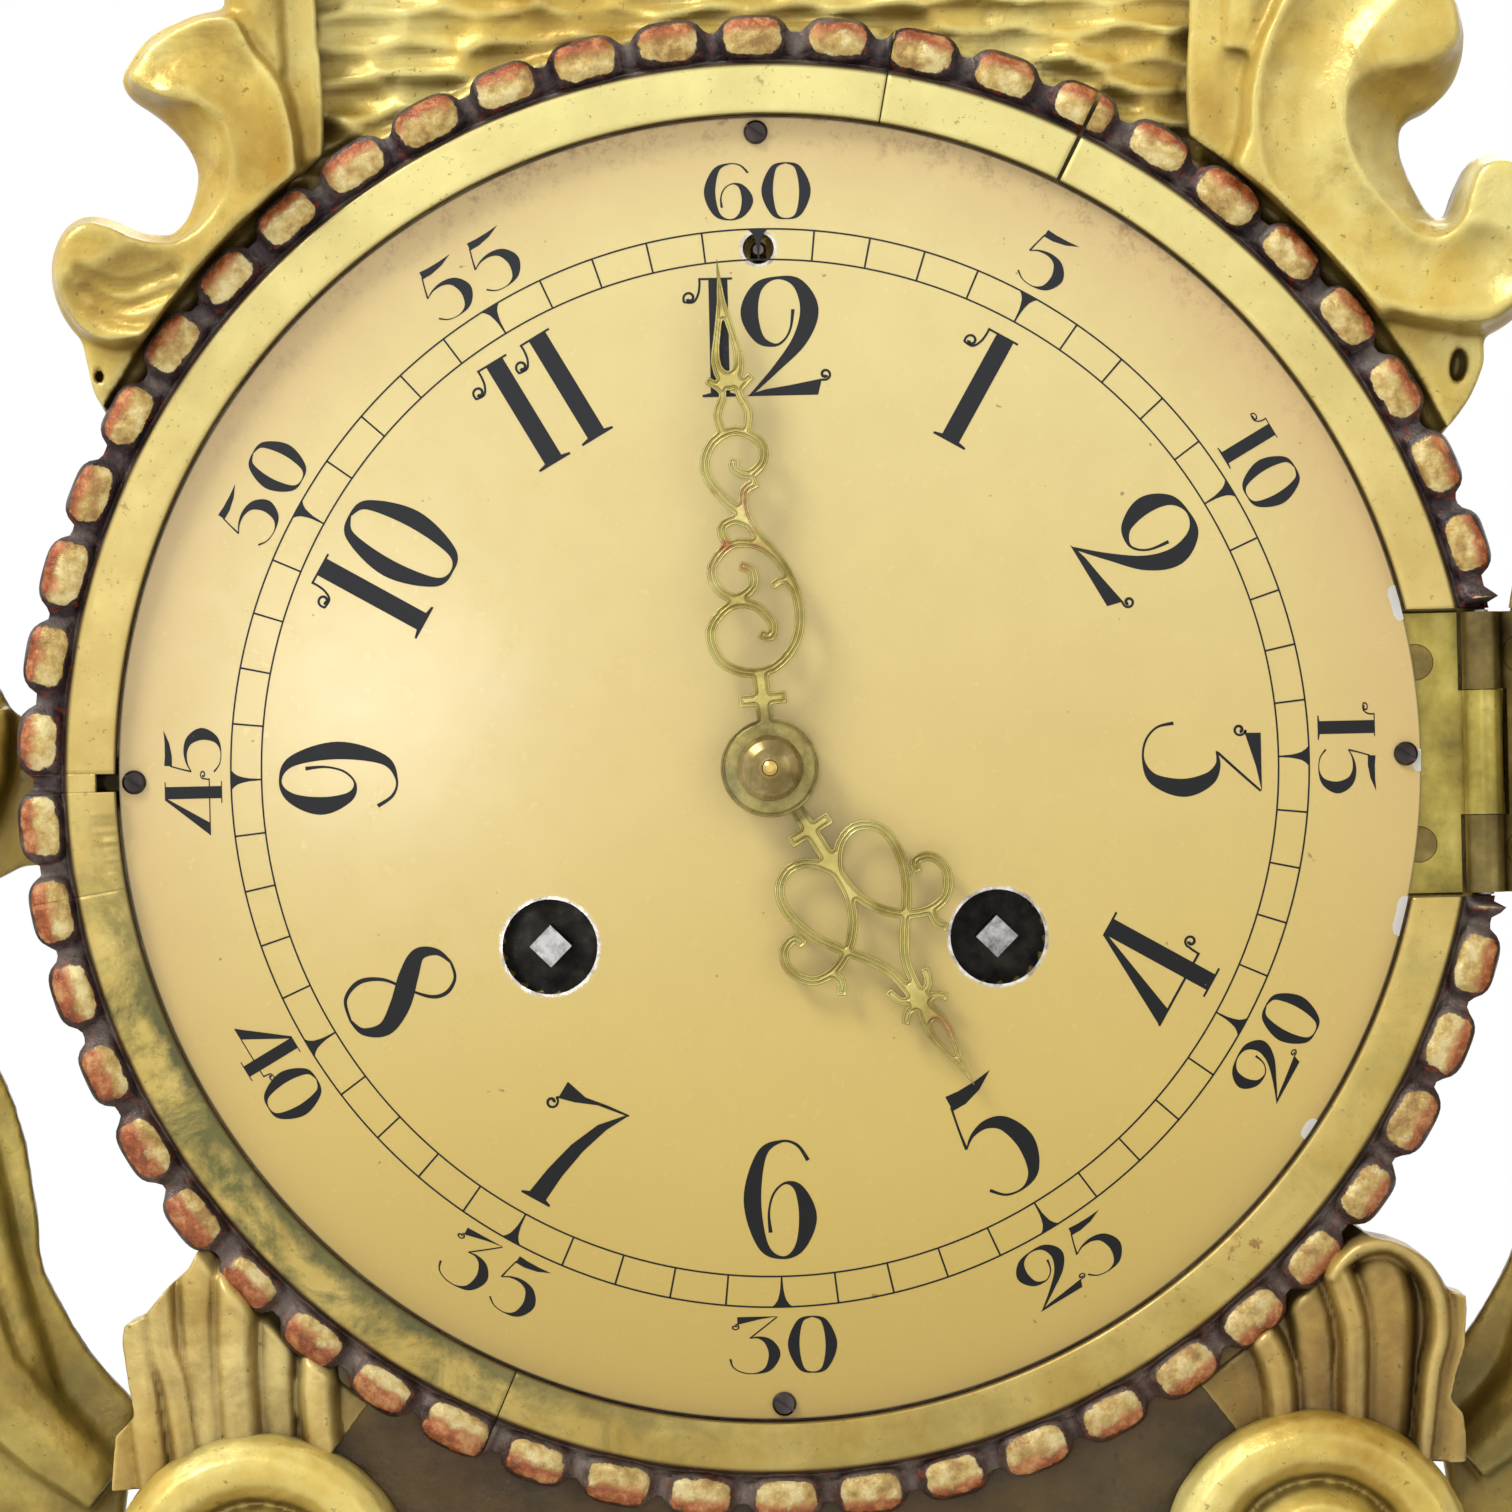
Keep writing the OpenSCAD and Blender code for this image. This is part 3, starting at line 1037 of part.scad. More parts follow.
module winding_arbor(at) {
    turned(at, [[0, back_plate_d + 0.2], [2.2, back_plate_d + 0.2], [2.2, back_plate_front + 0.2],
        [barrel_arbor_r, back_plate_front + 0.2], [barrel_arbor_r, front_plate_d - 0.2],
        [2.6, front_plate_d - 0.2], [2.6, ratchet_d + 0.2], [0, ratchet_d + 0.2]]);
    translate([at[0], 0, at[1]]) {
        slab(ratchet_d, ratchet_t) ratchet_outline();
        slab(ratchet_d + 0.5, key_end_d - ratchet_d - 0.5) rotate(45) square(square_side, center = true);
    }
}
module click(at) {
    translate([at[0], 0, at[1]]) slab(ratchet_d + 0.05, ratchet_t - 0.2) difference() {
        union() {
            translate(click_offset) circle(r = 2);
            polygon([[-1.5, 14.8], [-8.2, 7.9], [-7.2, 6.1], [0.9, 11.8]]);
        }
        translate(click_offset) circle(r = click_stud_r + pivot_gap);
    }
}
module going_barrel() color("goldenrod") barrel(going_at);
module going_winding_arbor() color("silver") winding_arbor(going_at);
module going_click() color("silver") click(going_at);
module intermediate_wheel() color("khaki") {
    arbor(inter_at, great_d);
    toothed(inter_at, inter_wheel_d, wheel_t, inter_teeth, centre_module, 0, 1.6, 4, 4);
    rod(inter_at, 3, inter_wheel_d - 2, inter_wheel_d + 0.5);
    leaves(inter_at, great_d - 1, great_d + great_t + 1, inter_leaves, great_module, inter_pinion_turn);
}
module third_wheel() color("khaki") {
    arbor(third_at, centre_wheel_d);
    toothed(third_at, third_wheel_d, wheel_t, third_teeth, third_module, 0, 1.5, 3.6, 4);
    rod(third_at, 2.6, third_wheel_d - 1.5, third_wheel_d + 0.5);
    leaves(third_at, centre_wheel_d - 1, centre_wheel_d + wheel_t + 1, third_leaves, centre_module,
        third_pinion_turn);
}
module escape_wheel() color("khaki") {
    arbor(escape_at, third_wheel_d);
    translate([escape_at[0], 0, escape_at[1]]) slab(escape_wheel_d, wheel_t) difference() {
        polygon([for (i = [0:escape_teeth - 1], k = [0:2])
            let (a = -i * 360 / escape_teeth, at = [[0, 0], [-1.2, -0.2], [-3.4, -2.2]][k])
            (escape_r + at[1]) * [cos(a + at[0]), sin(a + at[0])]]);
        difference() {
            circle(r = escape_r - 3.6);
            circle(r = 2.8);
            for (i = [0:3]) rotate(90 * i) translate([0, -0.6]) square([escape_r, 1.2]);
        }
    }
    rod(escape_at, 2.2, escape_wheel_d - 1.5, escape_wheel_d + 0.4);
    leaves(escape_at, third_wheel_d - 1, third_wheel_d + wheel_t + 1, escape_leaves, third_module,
        escape_pinion_turn);
}

/* The escapement and the pendulum */

pallet_reach = escape_r + 1.4;
crutch_z = 5;
crutch_d = pendulum_d + 3.1;
module pallet_anchor() color("silver") {
    turned(pallet_at, [[0, crutch_d - 0.4], [pallet_arbor_r, crutch_d - 0.4],
        [pallet_arbor_r, back_plate_front + 0.2], [arbor_r, back_plate_front + 0.2],
        [arbor_r, front_plate_d - 0.2], [pivot_r, front_plate_d - 0.2],
        [pivot_r, front_plate_d + plate_t - 0.2], [0, front_plate_d + plate_t - 0.2]]);
    translate([pallet_at[0], 0, pallet_at[1]]) slab(escape_wheel_d - 0.2, wheel_t + 0.4) {
        circle(r = 2.6);
        for (s = [-1, 1]) {
            edge = [s * pallet_reach * sin(50), pallet_reach * cos(50) - pallet_dist];
            polygon([[s * 1.4, 1.8], edge + [s * 1.6, 2.6], edge + [s * 1.4, -1.6], edge,
                edge + [-s * 1.6, 1.6], [0, -2]]);
        }
    }
    slab(crutch_d, 1.2) {
        translate(pallet_at) circle(r = 2);
        translate([-0.9, crutch_z]) square([1.8, pallet_at[1] - crutch_z]);
        translate([-3, crutch_z - 2]) square([6, 3]);
    }
    for (s = [-1, 1]) slab(pendulum_d - 2, crutch_d - pendulum_d + 2.5)
        translate([s * (rod_r + 1) - 0.7, crutch_z - 2]) square([1.4, 3]);
}
cock_top = 78;
module suspension_cock() color("goldenrod") {
    slab(back_plate_d - 2, 2) difference() {
        translate([-9, suspension_z - 9]) square([18, 25]);
        translate([0, regulator_z]) circle(r = stud_r + pivot_gap);
    }
    difference() {
        slab(pendulum_d - 4, back_plate_d - pendulum_d + 3) translate([-5, suspension_z - 1])
            square([10, cock_top - suspension_z - 1]);
        slab(pendulum_d - 10, 14.5) translate([-1.3, suspension_z - 3]) square([2.6, 20]);
    }
    for (x = [-6, 6]) rod([x, 64.5], 1, back_plate_d - 1, back_plate_front - 0.2);
}
module regulator_arbor() color("silver") {
    turned([0, regulator_z], [[0, back_plate_d - 7.5], [1.9, back_plate_d - 7.5], [1.9, back_plate_d - 4.5],
        [stud_r, back_plate_d - 4.5], [stud_r, board_face - 1.4], [0.8, board_face - 1], [0, board_face - 1]]);
}
module suspension_spring() color("silver") {
    slab(pendulum_d - 2.5, 5) {
        translate([-0.8, suspension_z + 1]) square([1.6, 5]);
        translate([-0.15, suspension_z - 6]) square([0.3, 8]);
        translate([-1, suspension_z - 10]) square([2, 5]);
    }
}
bob_at = [0, suspension_z - pendulum_len];
rating_screw_len = 3.6;
module pendulum_rod() color("silver") translate([0, -pendulum_d, 0]) {
    translate([0, 0, bob_at[1] - bob_r - rating_screw_len])
        cylinder(r = rod_r, h = pendulum_len + bob_r + rating_screw_len - 10);
    translate([0, 0, bob_at[1] - bob_r - 3]) cylinder(r = 2.6, h = 2.4);
    translate([0, 0, suspension_z - 13]) cylinder(r = 1.8, h = 2.9);
}
module pendulum_bob() color("goldenrod") difference() {
    turned(bob_at, [[0, pendulum_d - bob_t / 2], [bob_r * 0.5, pendulum_d - bob_t * 0.46],
        [bob_r * 0.85, pendulum_d - bob_t * 0.28], [bob_r, pendulum_d - 0.4], [bob_r, pendulum_d + 0.4],
        [bob_r * 0.85, pendulum_d + bob_t * 0.28], [bob_r * 0.5, pendulum_d + bob_t * 0.46],
        [0, pendulum_d + bob_t / 2]]);
    translate([0, -pendulum_d, 0]) cylinder(r = rod_r + 0.05, h = 400, center = true);
}

/* The striking train and the gong */

pin_pinion_turn = mate(striking_at, great_teeth, 0, pin_at, pin_leaves);
lock_pinion_turn = mate(pin_at, pin_teeth, 0, lock_at, lock_leaves);
fly_pinion_turn = mate(lock_at, lock_teeth, 0, fly_at, fly_leaves);
module striking_barrel() color("goldenrod") barrel(striking_at);
module striking_winding_arbor() color("silver") winding_arbor(striking_at);
module striking_click() color("silver") click(striking_at);
module pin_wheel() color("khaki") {
    arbor(pin_at, great_d);
    toothed(pin_at, pin_wheel_d, wheel_t, pin_teeth, pin_module, 0, 4, 4, 4);
    rod(pin_at, 3, pin_wheel_d - 2, pin_wheel_d + 0.5);
    for (i = [0:pin_count - 1])
        rod(pin_at + pin_circle_r * [cos(i * 45 + 20), sin(i * 45 + 20)], lift_pin_r, pin_wheel_d + 0.5,
            pin_wheel_d + wheel_t + 3);
    leaves(pin_at, great_d - 1, great_d + great_t + 1, pin_leaves, great_module, pin_pinion_turn);
}
module locking_wheel() color("khaki") {
    arbor(lock_at, pin_wheel_d);
    toothed(lock_at, lock_wheel_d, wheel_t, lock_teeth, lock_module, 0, 1.6, 3, 4);
    leaves(lock_at, pin_wheel_d - 1, pin_wheel_d + wheel_t + 1, lock_leaves, pin_module, lock_pinion_turn);
}
module fly() color("khaki") {
    arbor(fly_at, lock_wheel_d);
    translate([fly_at[0], 0, fly_at[1]]) slab(fly_d, fly_len) {
        circle(r = 1.8);
        translate([-fly_r, -0.3]) square([2 * fly_r, 0.6]);
    }
    leaves(fly_at, lock_wheel_d - 1, lock_wheel_d + wheel_t + 1, fly_leaves, lock_module, fly_pinion_turn);
}
strike_bearing = 155;
head_r = 4;
head_len = 9;
head_gap = 0.8;
strike_dir = [cos(strike_bearing), sin(strike_bearing)];
head_at = gong_centre + (gong_r + head_gap + head_len / 2) * strike_dir;
module hammer() color("goldenrod") {
    turned(hammer_at, [[0, gong_d + 3], [hammer_arbor_r, gong_d + 3],
        [hammer_arbor_r, back_plate_front + 0.2], [arbor_r, back_plate_front + 0.2],
        [arbor_r, front_plate_d - 0.2], [pivot_r, front_plate_d - 0.2],
        [pivot_r, front_plate_d + plate_t - 0.2], [0, front_plate_d + plate_t - 0.2]]);
    slab(pin_wheel_d + wheel_t + 1, 1.5) {
        translate(hammer_at) circle(r = 2.4);
        translate([hammer_at[0], hammer_at[1] - 1.2]) square([16, 1.6]);
    }
    slab(gong_d + 3, 1.6) {
        translate(hammer_at) circle(r = 2.4);
        polygon([hammer_at + [-1, 0], hammer_at + [1, 0], head_at + [1, 0], head_at + [-1, 0]]);
    }
    translate([head_at[0], -gong_d, head_at[1]]) rotate([0, 90 - strike_bearing, 0])
        cylinder(r = head_r, h = head_len, center = true);
}

// The gong is one wire: a straight tail from its block and then a flat coil
gong_line_r = gong_r - gong_wire_r;
gong_block_low = -sqrt(pow(drum_bore_r - 1, 2) - pow(gong_line_r + 5.5, 2));
gong_tail_z = gong_block_low + 3;
gong_steps = 24;
gong_path = concat(
    [[gong_line_r, gong_tail_z], [gong_line_r, (gong_tail_z + gong_centre[1]) / 2]],
    [for (i = [0:gong_turns * gong_steps])
        let (a = i * 360 / gong_steps, r = gong_line_r - gong_pitch * a / 360)
        gong_centre + r * [cos(a), sin(a)]]);
module gong() color("slategray") {
    sides = 6;
    n = len(gong_path);
    pts = [for (i = [0:n - 1], j = [0:sides - 1])
        let (h = heading(gong_path, i), side = [-h[1], h[0]], a = 360 * j / sides)
        [gong_path[i][0] + side[0] * gong_wire_r * cos(a), -gong_d - gong_wire_r * sin(a),
            gong_path[i][1] + side[1] * gong_wire_r * cos(a)]];
    walls = [for (i = [0:n - 2], j = [0:sides - 1], f = [0, 1])
        let (a = i * sides + j, b = i * sides + (j + 1) % sides)
        f == 0 ? [a, a + sides, b] : [b, a + sides, b + sides]];
    polyhedron(pts, concat(walls, [[for (j = [0:sides - 1]) j]],
        [[for (j = [sides - 1:-1:0]) (n - 1) * sides + j]]));
    gap = min([for (i = [0:n - 1], j = [0:n - 1]) if (j > i + 6) norm(gong_path[j] - gong_path[i])])
        - 2 * gong_wire_r;
    echo(gong_least_gap = gap);
}
module gong_block() color("dimgray") difference() {
    slab(cover_t + flange_t, 7) translate([gong_line_r - 5.5, gong_block_low]) square([11, 9]);
    translate([gong_line_r, -gong_d, gong_tail_z - 0.5]) cylinder(r = gong_wire_r + 0.05, h = 20);
}

case_drum();
front_board();
bead_ring();
crest();
left_scroll();
right_scroll();
left_side_leaf();
right_side_leaf();
left_shell_fan();
right_shell_fan();
left_volute();
right_volute();
bottom_pendant();
back_cover();
case_screws();
hanging_plate();
dial();
dial_screws();
hinge_case_leaf();
hinge_pin();
hinge_case_screws();
door_frame();
door_glass();
glass_retainer();
hinge_door_leaf();
hinge_door_screws();
door_catch();
front_plate();
back_plate();
pillars();
pillar_nuts();
fixing_straps();
centre_wheel();
cannon_pinion();
minute_hand();
hand_nut();
minute_wheel();
hour_wheel();
hour_hand();
going_barrel();
going_winding_arbor();
going_click();
intermediate_wheel();
third_wheel();
escape_wheel();
pallet_anchor();
suspension_cock();
regulator_arbor();
suspension_spring();
pendulum_rod();
pendulum_bob();
striking_barrel();
striking_winding_arbor();
striking_click();
pin_wheel();
locking_wheel();
fly();
hammer();
gong();
gong_block();
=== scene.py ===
"""The looks of the giltwood wall clock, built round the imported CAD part. Metres, +Z up, front facing -Y."""

import math
import random

import bpy
from mathutils import Matrix, Vector
from mathutils import noise as mnoise
from mathutils.kdtree import KDTree


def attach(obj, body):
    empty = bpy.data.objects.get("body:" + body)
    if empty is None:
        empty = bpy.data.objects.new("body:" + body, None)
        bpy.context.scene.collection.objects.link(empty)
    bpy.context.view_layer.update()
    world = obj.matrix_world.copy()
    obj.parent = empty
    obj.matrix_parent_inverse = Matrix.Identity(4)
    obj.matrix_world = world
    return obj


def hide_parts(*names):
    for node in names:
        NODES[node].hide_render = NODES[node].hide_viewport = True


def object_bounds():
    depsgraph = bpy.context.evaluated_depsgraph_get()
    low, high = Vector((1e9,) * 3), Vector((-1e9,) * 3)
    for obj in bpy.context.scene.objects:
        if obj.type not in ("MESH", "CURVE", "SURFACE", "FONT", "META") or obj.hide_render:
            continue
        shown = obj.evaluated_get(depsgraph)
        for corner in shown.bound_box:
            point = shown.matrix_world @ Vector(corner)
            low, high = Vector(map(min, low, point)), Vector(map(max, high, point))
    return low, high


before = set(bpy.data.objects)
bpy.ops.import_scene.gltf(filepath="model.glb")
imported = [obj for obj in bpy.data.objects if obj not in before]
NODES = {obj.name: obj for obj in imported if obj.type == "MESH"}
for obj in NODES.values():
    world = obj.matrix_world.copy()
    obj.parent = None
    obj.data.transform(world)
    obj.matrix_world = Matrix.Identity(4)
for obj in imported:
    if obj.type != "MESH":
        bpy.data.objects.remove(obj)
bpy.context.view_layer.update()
MM = 0.001
# on the dial, in millimetres from its middle: the key holes and the regulator's hole, with their radii
KEY_X, KEY_Z, KEY_HOLE = 34.4, -26.7, 7.3
REGULATOR_Z, REGULATOR_HOLE = 79.8, 2.4


# small helpers
def lin(code):
    """A '#RRGGBB' colour as the linear RGBA that shaders take."""
    rgb = [int(code[i : i + 2], 16) / 255 for i in (1, 3, 5)]
    return tuple(c / 12.92 if c <= 0.04045 else ((c + 0.055) / 1.055) ** 2.4 for c in rgb) + (1.0,)


def at(x, d, z):
    """A point from millimetres: x to the right, d forwards from the wall, z up."""
    return Vector((x * MM, -d * MM, z * MM))


def polar(r, angle):
    """x and z in millimetres at radius r and an angle in degrees, clockwise from the top."""
    a = math.radians(angle)
    return r * math.sin(a), r * math.cos(a)


def smooth(a, b, t):
    """0 at a, 1 at b, with a soft start and end."""
    t = min(1.0, max(0.0, (t - a) / (b - a)))
    return t * t * (3 - 2 * t)


def new_object(name, data):
    o = bpy.data.objects.new(name, data)
    bpy.context.scene.collection.objects.link(o)
    return o


def new_mesh(name, verts, faces, mat, soft=True):
    me = bpy.data.meshes.new(name)
    me.from_pydata(verts, [], faces)
    me.validate()
    me.update()
    for p in me.polygons:
        p.use_smooth = soft
    me.materials.append(mat)
    return new_object(name, me)


class Paint:
    """A procedural material, built up from a few kinds of node."""

    def __init__(self, name, **values):
        self.mat = bpy.data.materials.new(name)
        self.mat.use_nodes = True
        self.nodes = self.mat.node_tree.nodes
        self.links = self.mat.node_tree.links
        self.bsdf = self.nodes["Principled BSDF"]
        self.coord = self.nodes.new("ShaderNodeTexCoord").outputs["Object"]
        self.set(**values)

    def set(self, **values):
        for key, value in values.items():
            self.put(value, self.bsdf.inputs[key.replace("_", " ")])

    def put(self, value, socket):
        if isinstance(value, bpy.types.NodeSocket):
            self.links.new(value, socket)
        elif isinstance(value, str):
            socket.default_value = lin(value)
        else:
            socket.default_value = value

    def noise(self, scale, detail=4.0, rough=0.55, stretch=None, distort=0.0):
        n = self.nodes.new("ShaderNodeTexNoise")
        n.inputs["Scale"].default_value = scale
        n.inputs["Detail"].default_value = detail
        n.inputs["Roughness"].default_value = rough
        n.inputs["Distortion"].default_value = distort
        vec = self.coord
        if stretch:
            m = self.nodes.new("ShaderNodeMapping")
            m.inputs["Scale"].default_value = stretch
            self.links.new(vec, m.inputs["Vector"])
            vec = m.outputs["Vector"]
        self.links.new(vec, n.inputs["Vector"])
        return n.outputs["Fac"]

    def ramp(self, fac, *stops):
        """Stops are (position, value) pairs, the value a colour code or a number."""
        n = self.nodes.new("ShaderNodeValToRGB")
        el = n.color_ramp.elements
        while len(el) > 2:
            el.remove(el[-1])
        for i, (pos, value) in enumerate(stops):
            e = el[i] if i < 2 else el.new(pos)
            e.position = pos
            e.color = lin(value) if isinstance(value, str) else (value, value, value, 1)
        self.links.new(fac, n.inputs["Fac"])
        return n.outputs["Color"]

    def rise(self, fac, start, end, top=1.0):
        return self.ramp(fac, (start, 0.0), (end, top))

    def fall(self, fac, start, end, top=1.0):
        return self.ramp(fac, (start, top), (end, 0.0))

    def mix(self, fac, a, b):
        n = self.nodes.new("ShaderNodeMix")
        n.data_type = "RGBA"
        for value, socket in ((fac, n.inputs[0]), (a, n.inputs[6]), (b, n.inputs[7])):
            self.put(value, socket)
        return n.outputs[2]

    def cover(self, under, over, share, most):
        """One colour over another, by a share of at most `most`."""
        return self.mix(self.times(share, most), under, over)

    def speckle(self, under, over, most, start, end, *kind):
        """Specks of one colour over another, where a noise passes from start to end."""
        return self.cover(under, over, self.rise(self.noise(*kind), start, end), most)

    def math(self, op, a, b=0.0):
        n = self.nodes.new("ShaderNodeMath")
        n.operation = op
        self.put(a, n.inputs[0])
        self.put(b, n.inputs[1])
        return n.outputs[0]

    def times(self, a, b):
        return self.math("MULTIPLY", a, b)

    def plus(self, a, b):
        return self.math("ADD", a, b)

    def minus(self, a, b):
        return self.math("SUBTRACT", a, b)

    def axes(self):
        n = self.nodes.new("ShaderNodeSeparateXYZ")
        self.links.new(self.coord, n.inputs[0])
        return n.outputs[0], n.outputs[1], n.outputs[2]

    def away(self, reach, x=0.0, z=0.0, both=False):
        """Distance from the line along Y through (x, z) in units of reach, all in millimetres."""
        px, _, pz = self.axes()
        if both:
            px = self.math("ABSOLUTE", px)
        dx, dz = self.minus(px, x * MM), self.minus(pz, z * MM)
        metres = self.math("SQRT", self.plus(self.times(dx, dx), self.times(dz, dz)))
        return self.times(metres, 1000 / reach)

    def wander(self, reach, *kind):
        """Noise that strays about zero, by half of reach at most."""
        return self.times(self.minus(self.noise(*kind), 0.5), reach)

    def hollow(self, distance, samples=8):
        """1 in the open, towards 0 in crevices."""
        n = self.nodes.new("ShaderNodeAmbientOcclusion")
        n.inputs["Distance"].default_value = distance
        n.samples = samples
        return n.outputs["AO"]

    def facing(self, x, y, z):
        """How far a face looks along a direction: 0 away from it, 1 towards it."""
        normal = self.nodes.new("ShaderNodeNewGeometry").outputs["Normal"]
        n = self.nodes.new("ShaderNodeVectorMath")
        n.operation = "DOT_PRODUCT"
        n.inputs[1].default_value = Vector((x, y, z)).normalized()
        self.links.new(normal, n.inputs[0])
        return self.plus(self.times(n.outputs["Value"], 0.5), 0.5)

    def edges(self):
        return self.nodes.new("ShaderNodeNewGeometry").outputs["Pointiness"]

    def bump(self, *heights):
        """heights are (height socket, strength, distance in metres)."""
        last = None
        for height, strength, distance in heights:
            n = self.nodes.new("ShaderNodeBump")
            n.inputs["Strength"].default_value = strength
            n.inputs["Distance"].default_value = distance
            self.links.new(height, n.inputs["Height"])
            if last is not None:
                self.links.new(last, n.inputs["Normal"])
            last = n.outputs["Normal"]
        self.links.new(last, self.bsdf.inputs["Normal"])


# materials
def gilt_paint(name, tones, amount=0.5, metallic=0.3, rough=0.34, zone=None):
    """Worn gold leaf: three golds in clouds, patina, painted shade on faces turned from the light and in
    concave folds, dirt and painted shade in hollows, and bare pine at the back.
    """
    pale, mid, deep, patina, crevice = tones.split()
    p = Paint(name)
    clouds = p.noise(26, 7, 0.62)
    gold = p.ramp(clouds, (0.34, deep), (0.5, mid), (0.66, pale))
    # painted shade: faces turned away from the light at the upper left front are mixed towards the patina
    # colour
    toward_light = p.plus(p.facing(-0.5, -0.45, 0.75), p.times(p.noise(60, 6, 0.7), 0.24))
    turned_away_shade = p.ramp(toward_light, (0.42, 0.85), (0.7, 0.25), (0.92, 0.0))
    gold = p.mix(turned_away_shade, gold, patina)
    patches = p.noise(48, 9, 0.7, distort=0.6)
    patches = p.rise(patches, 0.62 - 0.16 * amount, 0.76 - 0.12 * amount)
    gold = p.cover(gold, patina, patches, 0.6)
    rub = p.rise(p.edges(), 0.5, 0.55)
    gold = p.cover(gold, pale, rub, 0.5)
    # painted shade: the patina colour laid into concave folds
    valley_shade = p.fall(p.edges(), 0.42, 0.49)
    gold = p.cover(gold, patina, valley_shade, 0.55)
    # dirt and painted shade: the crevice colour laid where ambient occlusion finds hollows
    dirt_and_shade = p.fall(p.hollow(0.012), 0.2, 0.88)
    gold = p.cover(gold, crevice, dirt_and_shade, 0.85)
    gold = p.speckle(gold, crevice, 0.5, 0.64, 0.7, 620, 3, 0.7)
    if zone:
        gold = zone(p, gold)
    behind = p.rise(p.facing(0, 1, 0), 0.86, 0.94)
    grain = p.noise(40, 8, 0.6, stretch=(5, 1, 0.6), distort=0.6)
    pine = p.ramp(grain, (0.32, "#5E4023"), (0.68, "#A07C50"))
    gold = p.mix(behind, gold, pine)
    p.set(Base_Color=gold, Metallic=p.times(p.minus(1.0, behind), metallic))
    p.set(Roughness=p.ramp(p.noise(130, 5), (0.35, rough - 0.08), (0.7, rough + 0.16)))
    p.bump((p.noise(160, 6, 0.6), 0.45, 0.0008), (p.noise(1500, 2, 0.5), 0.15, 0.00012))
    return p.mat


def bare_below(p, gold):
    """Painted shade: a dark brown wood colour over the board's lower part, under the ring."""
    below = p.rise(p.times(p.axes()[2], -10), 0.8, 1.02, 0.93)
    wood = p.ramp(p.noise(90, 6, 0.7), (0.35, "#1C1008"), (0.65, "#4A3117"))
    return p.mix(below, gold, wood)


GILT = gilt_paint("gilt_carved", "#FAEB96 #E5C662 #BD9434 #8C7030 #44300F")
GILT_BOARD = gilt_paint("gilt_board", "#FFF09A #E8C860 #BD9434 #8C7030 #44300F", zone=bare_below)
GILT_SHELL = gilt_paint("gilt_shell", "#F2DA8C #C8A450 #947230 #80642C #36230C", amount=0.7)
GILT_LEAF = gilt_paint("gilt_leaf", "#DCC468 #B39744 #876F30 #6A622E #44320F", amount=0.9)
GILT_DOOR = gilt_paint("gilt_door", "#E8D488 #D2B762 #AE9145 #8B7A48 #4A3A1C",
                       amount=0.3, metallic=0.8, rough=0.28)


# places of wear on the ring, the dial and the hands: (x, z) or (x, z, reach) in millimetres
RUST_SPOT = (72.2, -78.6)
DIAL_CHIPS = ((96.8, 23.2, 4.0), (96.5, -25.0, 4.4), (81.8, -57.6, 2.6), (99.5, -1.0, 2.4))
PALE_STAIN = (-41, 14)
STREAK = (81, -72)
COPPER_SPOTS = ((-6, 37, 9.0), (26, -45, 8.0))


def ring_paint():
    """The flat gold band round the dial, rubbed, speckled and stained green at its lower side, with painted
    light, paler towards the top, and painted shade in the groove and at the dial's edge.
    """
    p = Paint("gilt_band", Metallic=0.3)
    x, y, z = p.axes()
    # painted light: the band grows paler towards the top and darker towards the bottom
    height = p.plus(p.times(z, 4.6), 0.5)
    base = p.ramp(height, (0.02, "#AC8F38"), (0.3, "#CDB056"), (0.6, "#E2C572"), (0.98, "#FFF4A2"))
    cloud = p.ramp(p.noise(60, 7, 0.62), (0.36, "#B1954E"), (0.6, "#F0DC92"))
    base = p.mix(0.28, base, cloud)
    left = p.rise(p.times(x, -10), -0.15, 0.55)
    low = p.rise(p.times(z, -10), -0.15, 0.35)
    corner = p.times(left, low)
    r = p.away(1)
    ragged = p.plus(r, p.wander(9.0, 210, 6, 0.7))
    inner = p.fall(p.times(p.minus(ragged, 100), 0.2), 0.2, 0.75)
    base = p.mix(p.times(p.times(inner, corner), 0.9), base, "#3E4427")
    stain = p.rise(p.noise(85, 9, 0.72, distort=0.5), 0.45, 0.62)
    share = p.plus(p.times(corner, 0.75), p.times(low, 0.25))
    base = p.mix(p.times(stain, share), base, "#6C6834")
    near = p.fall(p.away(10, *RUST_SPOT), 0.35, 0.75)
    rust = p.times(near, p.rise(p.noise(330, 5, 0.7), 0.56, 0.61))
    base = p.cover(base, "#8E5524", rust, 0.8)
    base = p.speckle(base, "#8A5230", 0.5, 0.67, 0.72, 150, 6, 0.7)
    base = p.speckle(base, "#6B5426", 0.6, 0.62, 0.68, 820, 4, 0.78)
    # painted shade in the groove between the band and the beads
    groove = p.rise(p.minus(r, 107), 0.3, 0.85)
    base = p.cover(base, "#46291A", groove, 0.85)
    # painted shadow along the band's inner edge, by the dial
    edge_shadow = p.fall(p.minus(r, 100), 0.46, 0.62)
    base = p.cover(base, "#5A3E1C", edge_shadow, 0.7)
    back = p.fall(p.times(y, -10), 0.866, 0.886)
    base = p.mix(back, base, "#4A3020")
    p.set(Base_Color=base)
    p.set(Roughness=p.ramp(p.noise(200, 5), (0.35, 0.3), (0.7, 0.52)))
    p.bump((p.noise(70, 7, 0.6), 0.35, 0.0006), (p.noise(700, 4, 0.7), 0.3, 0.00015))
    return p.mat


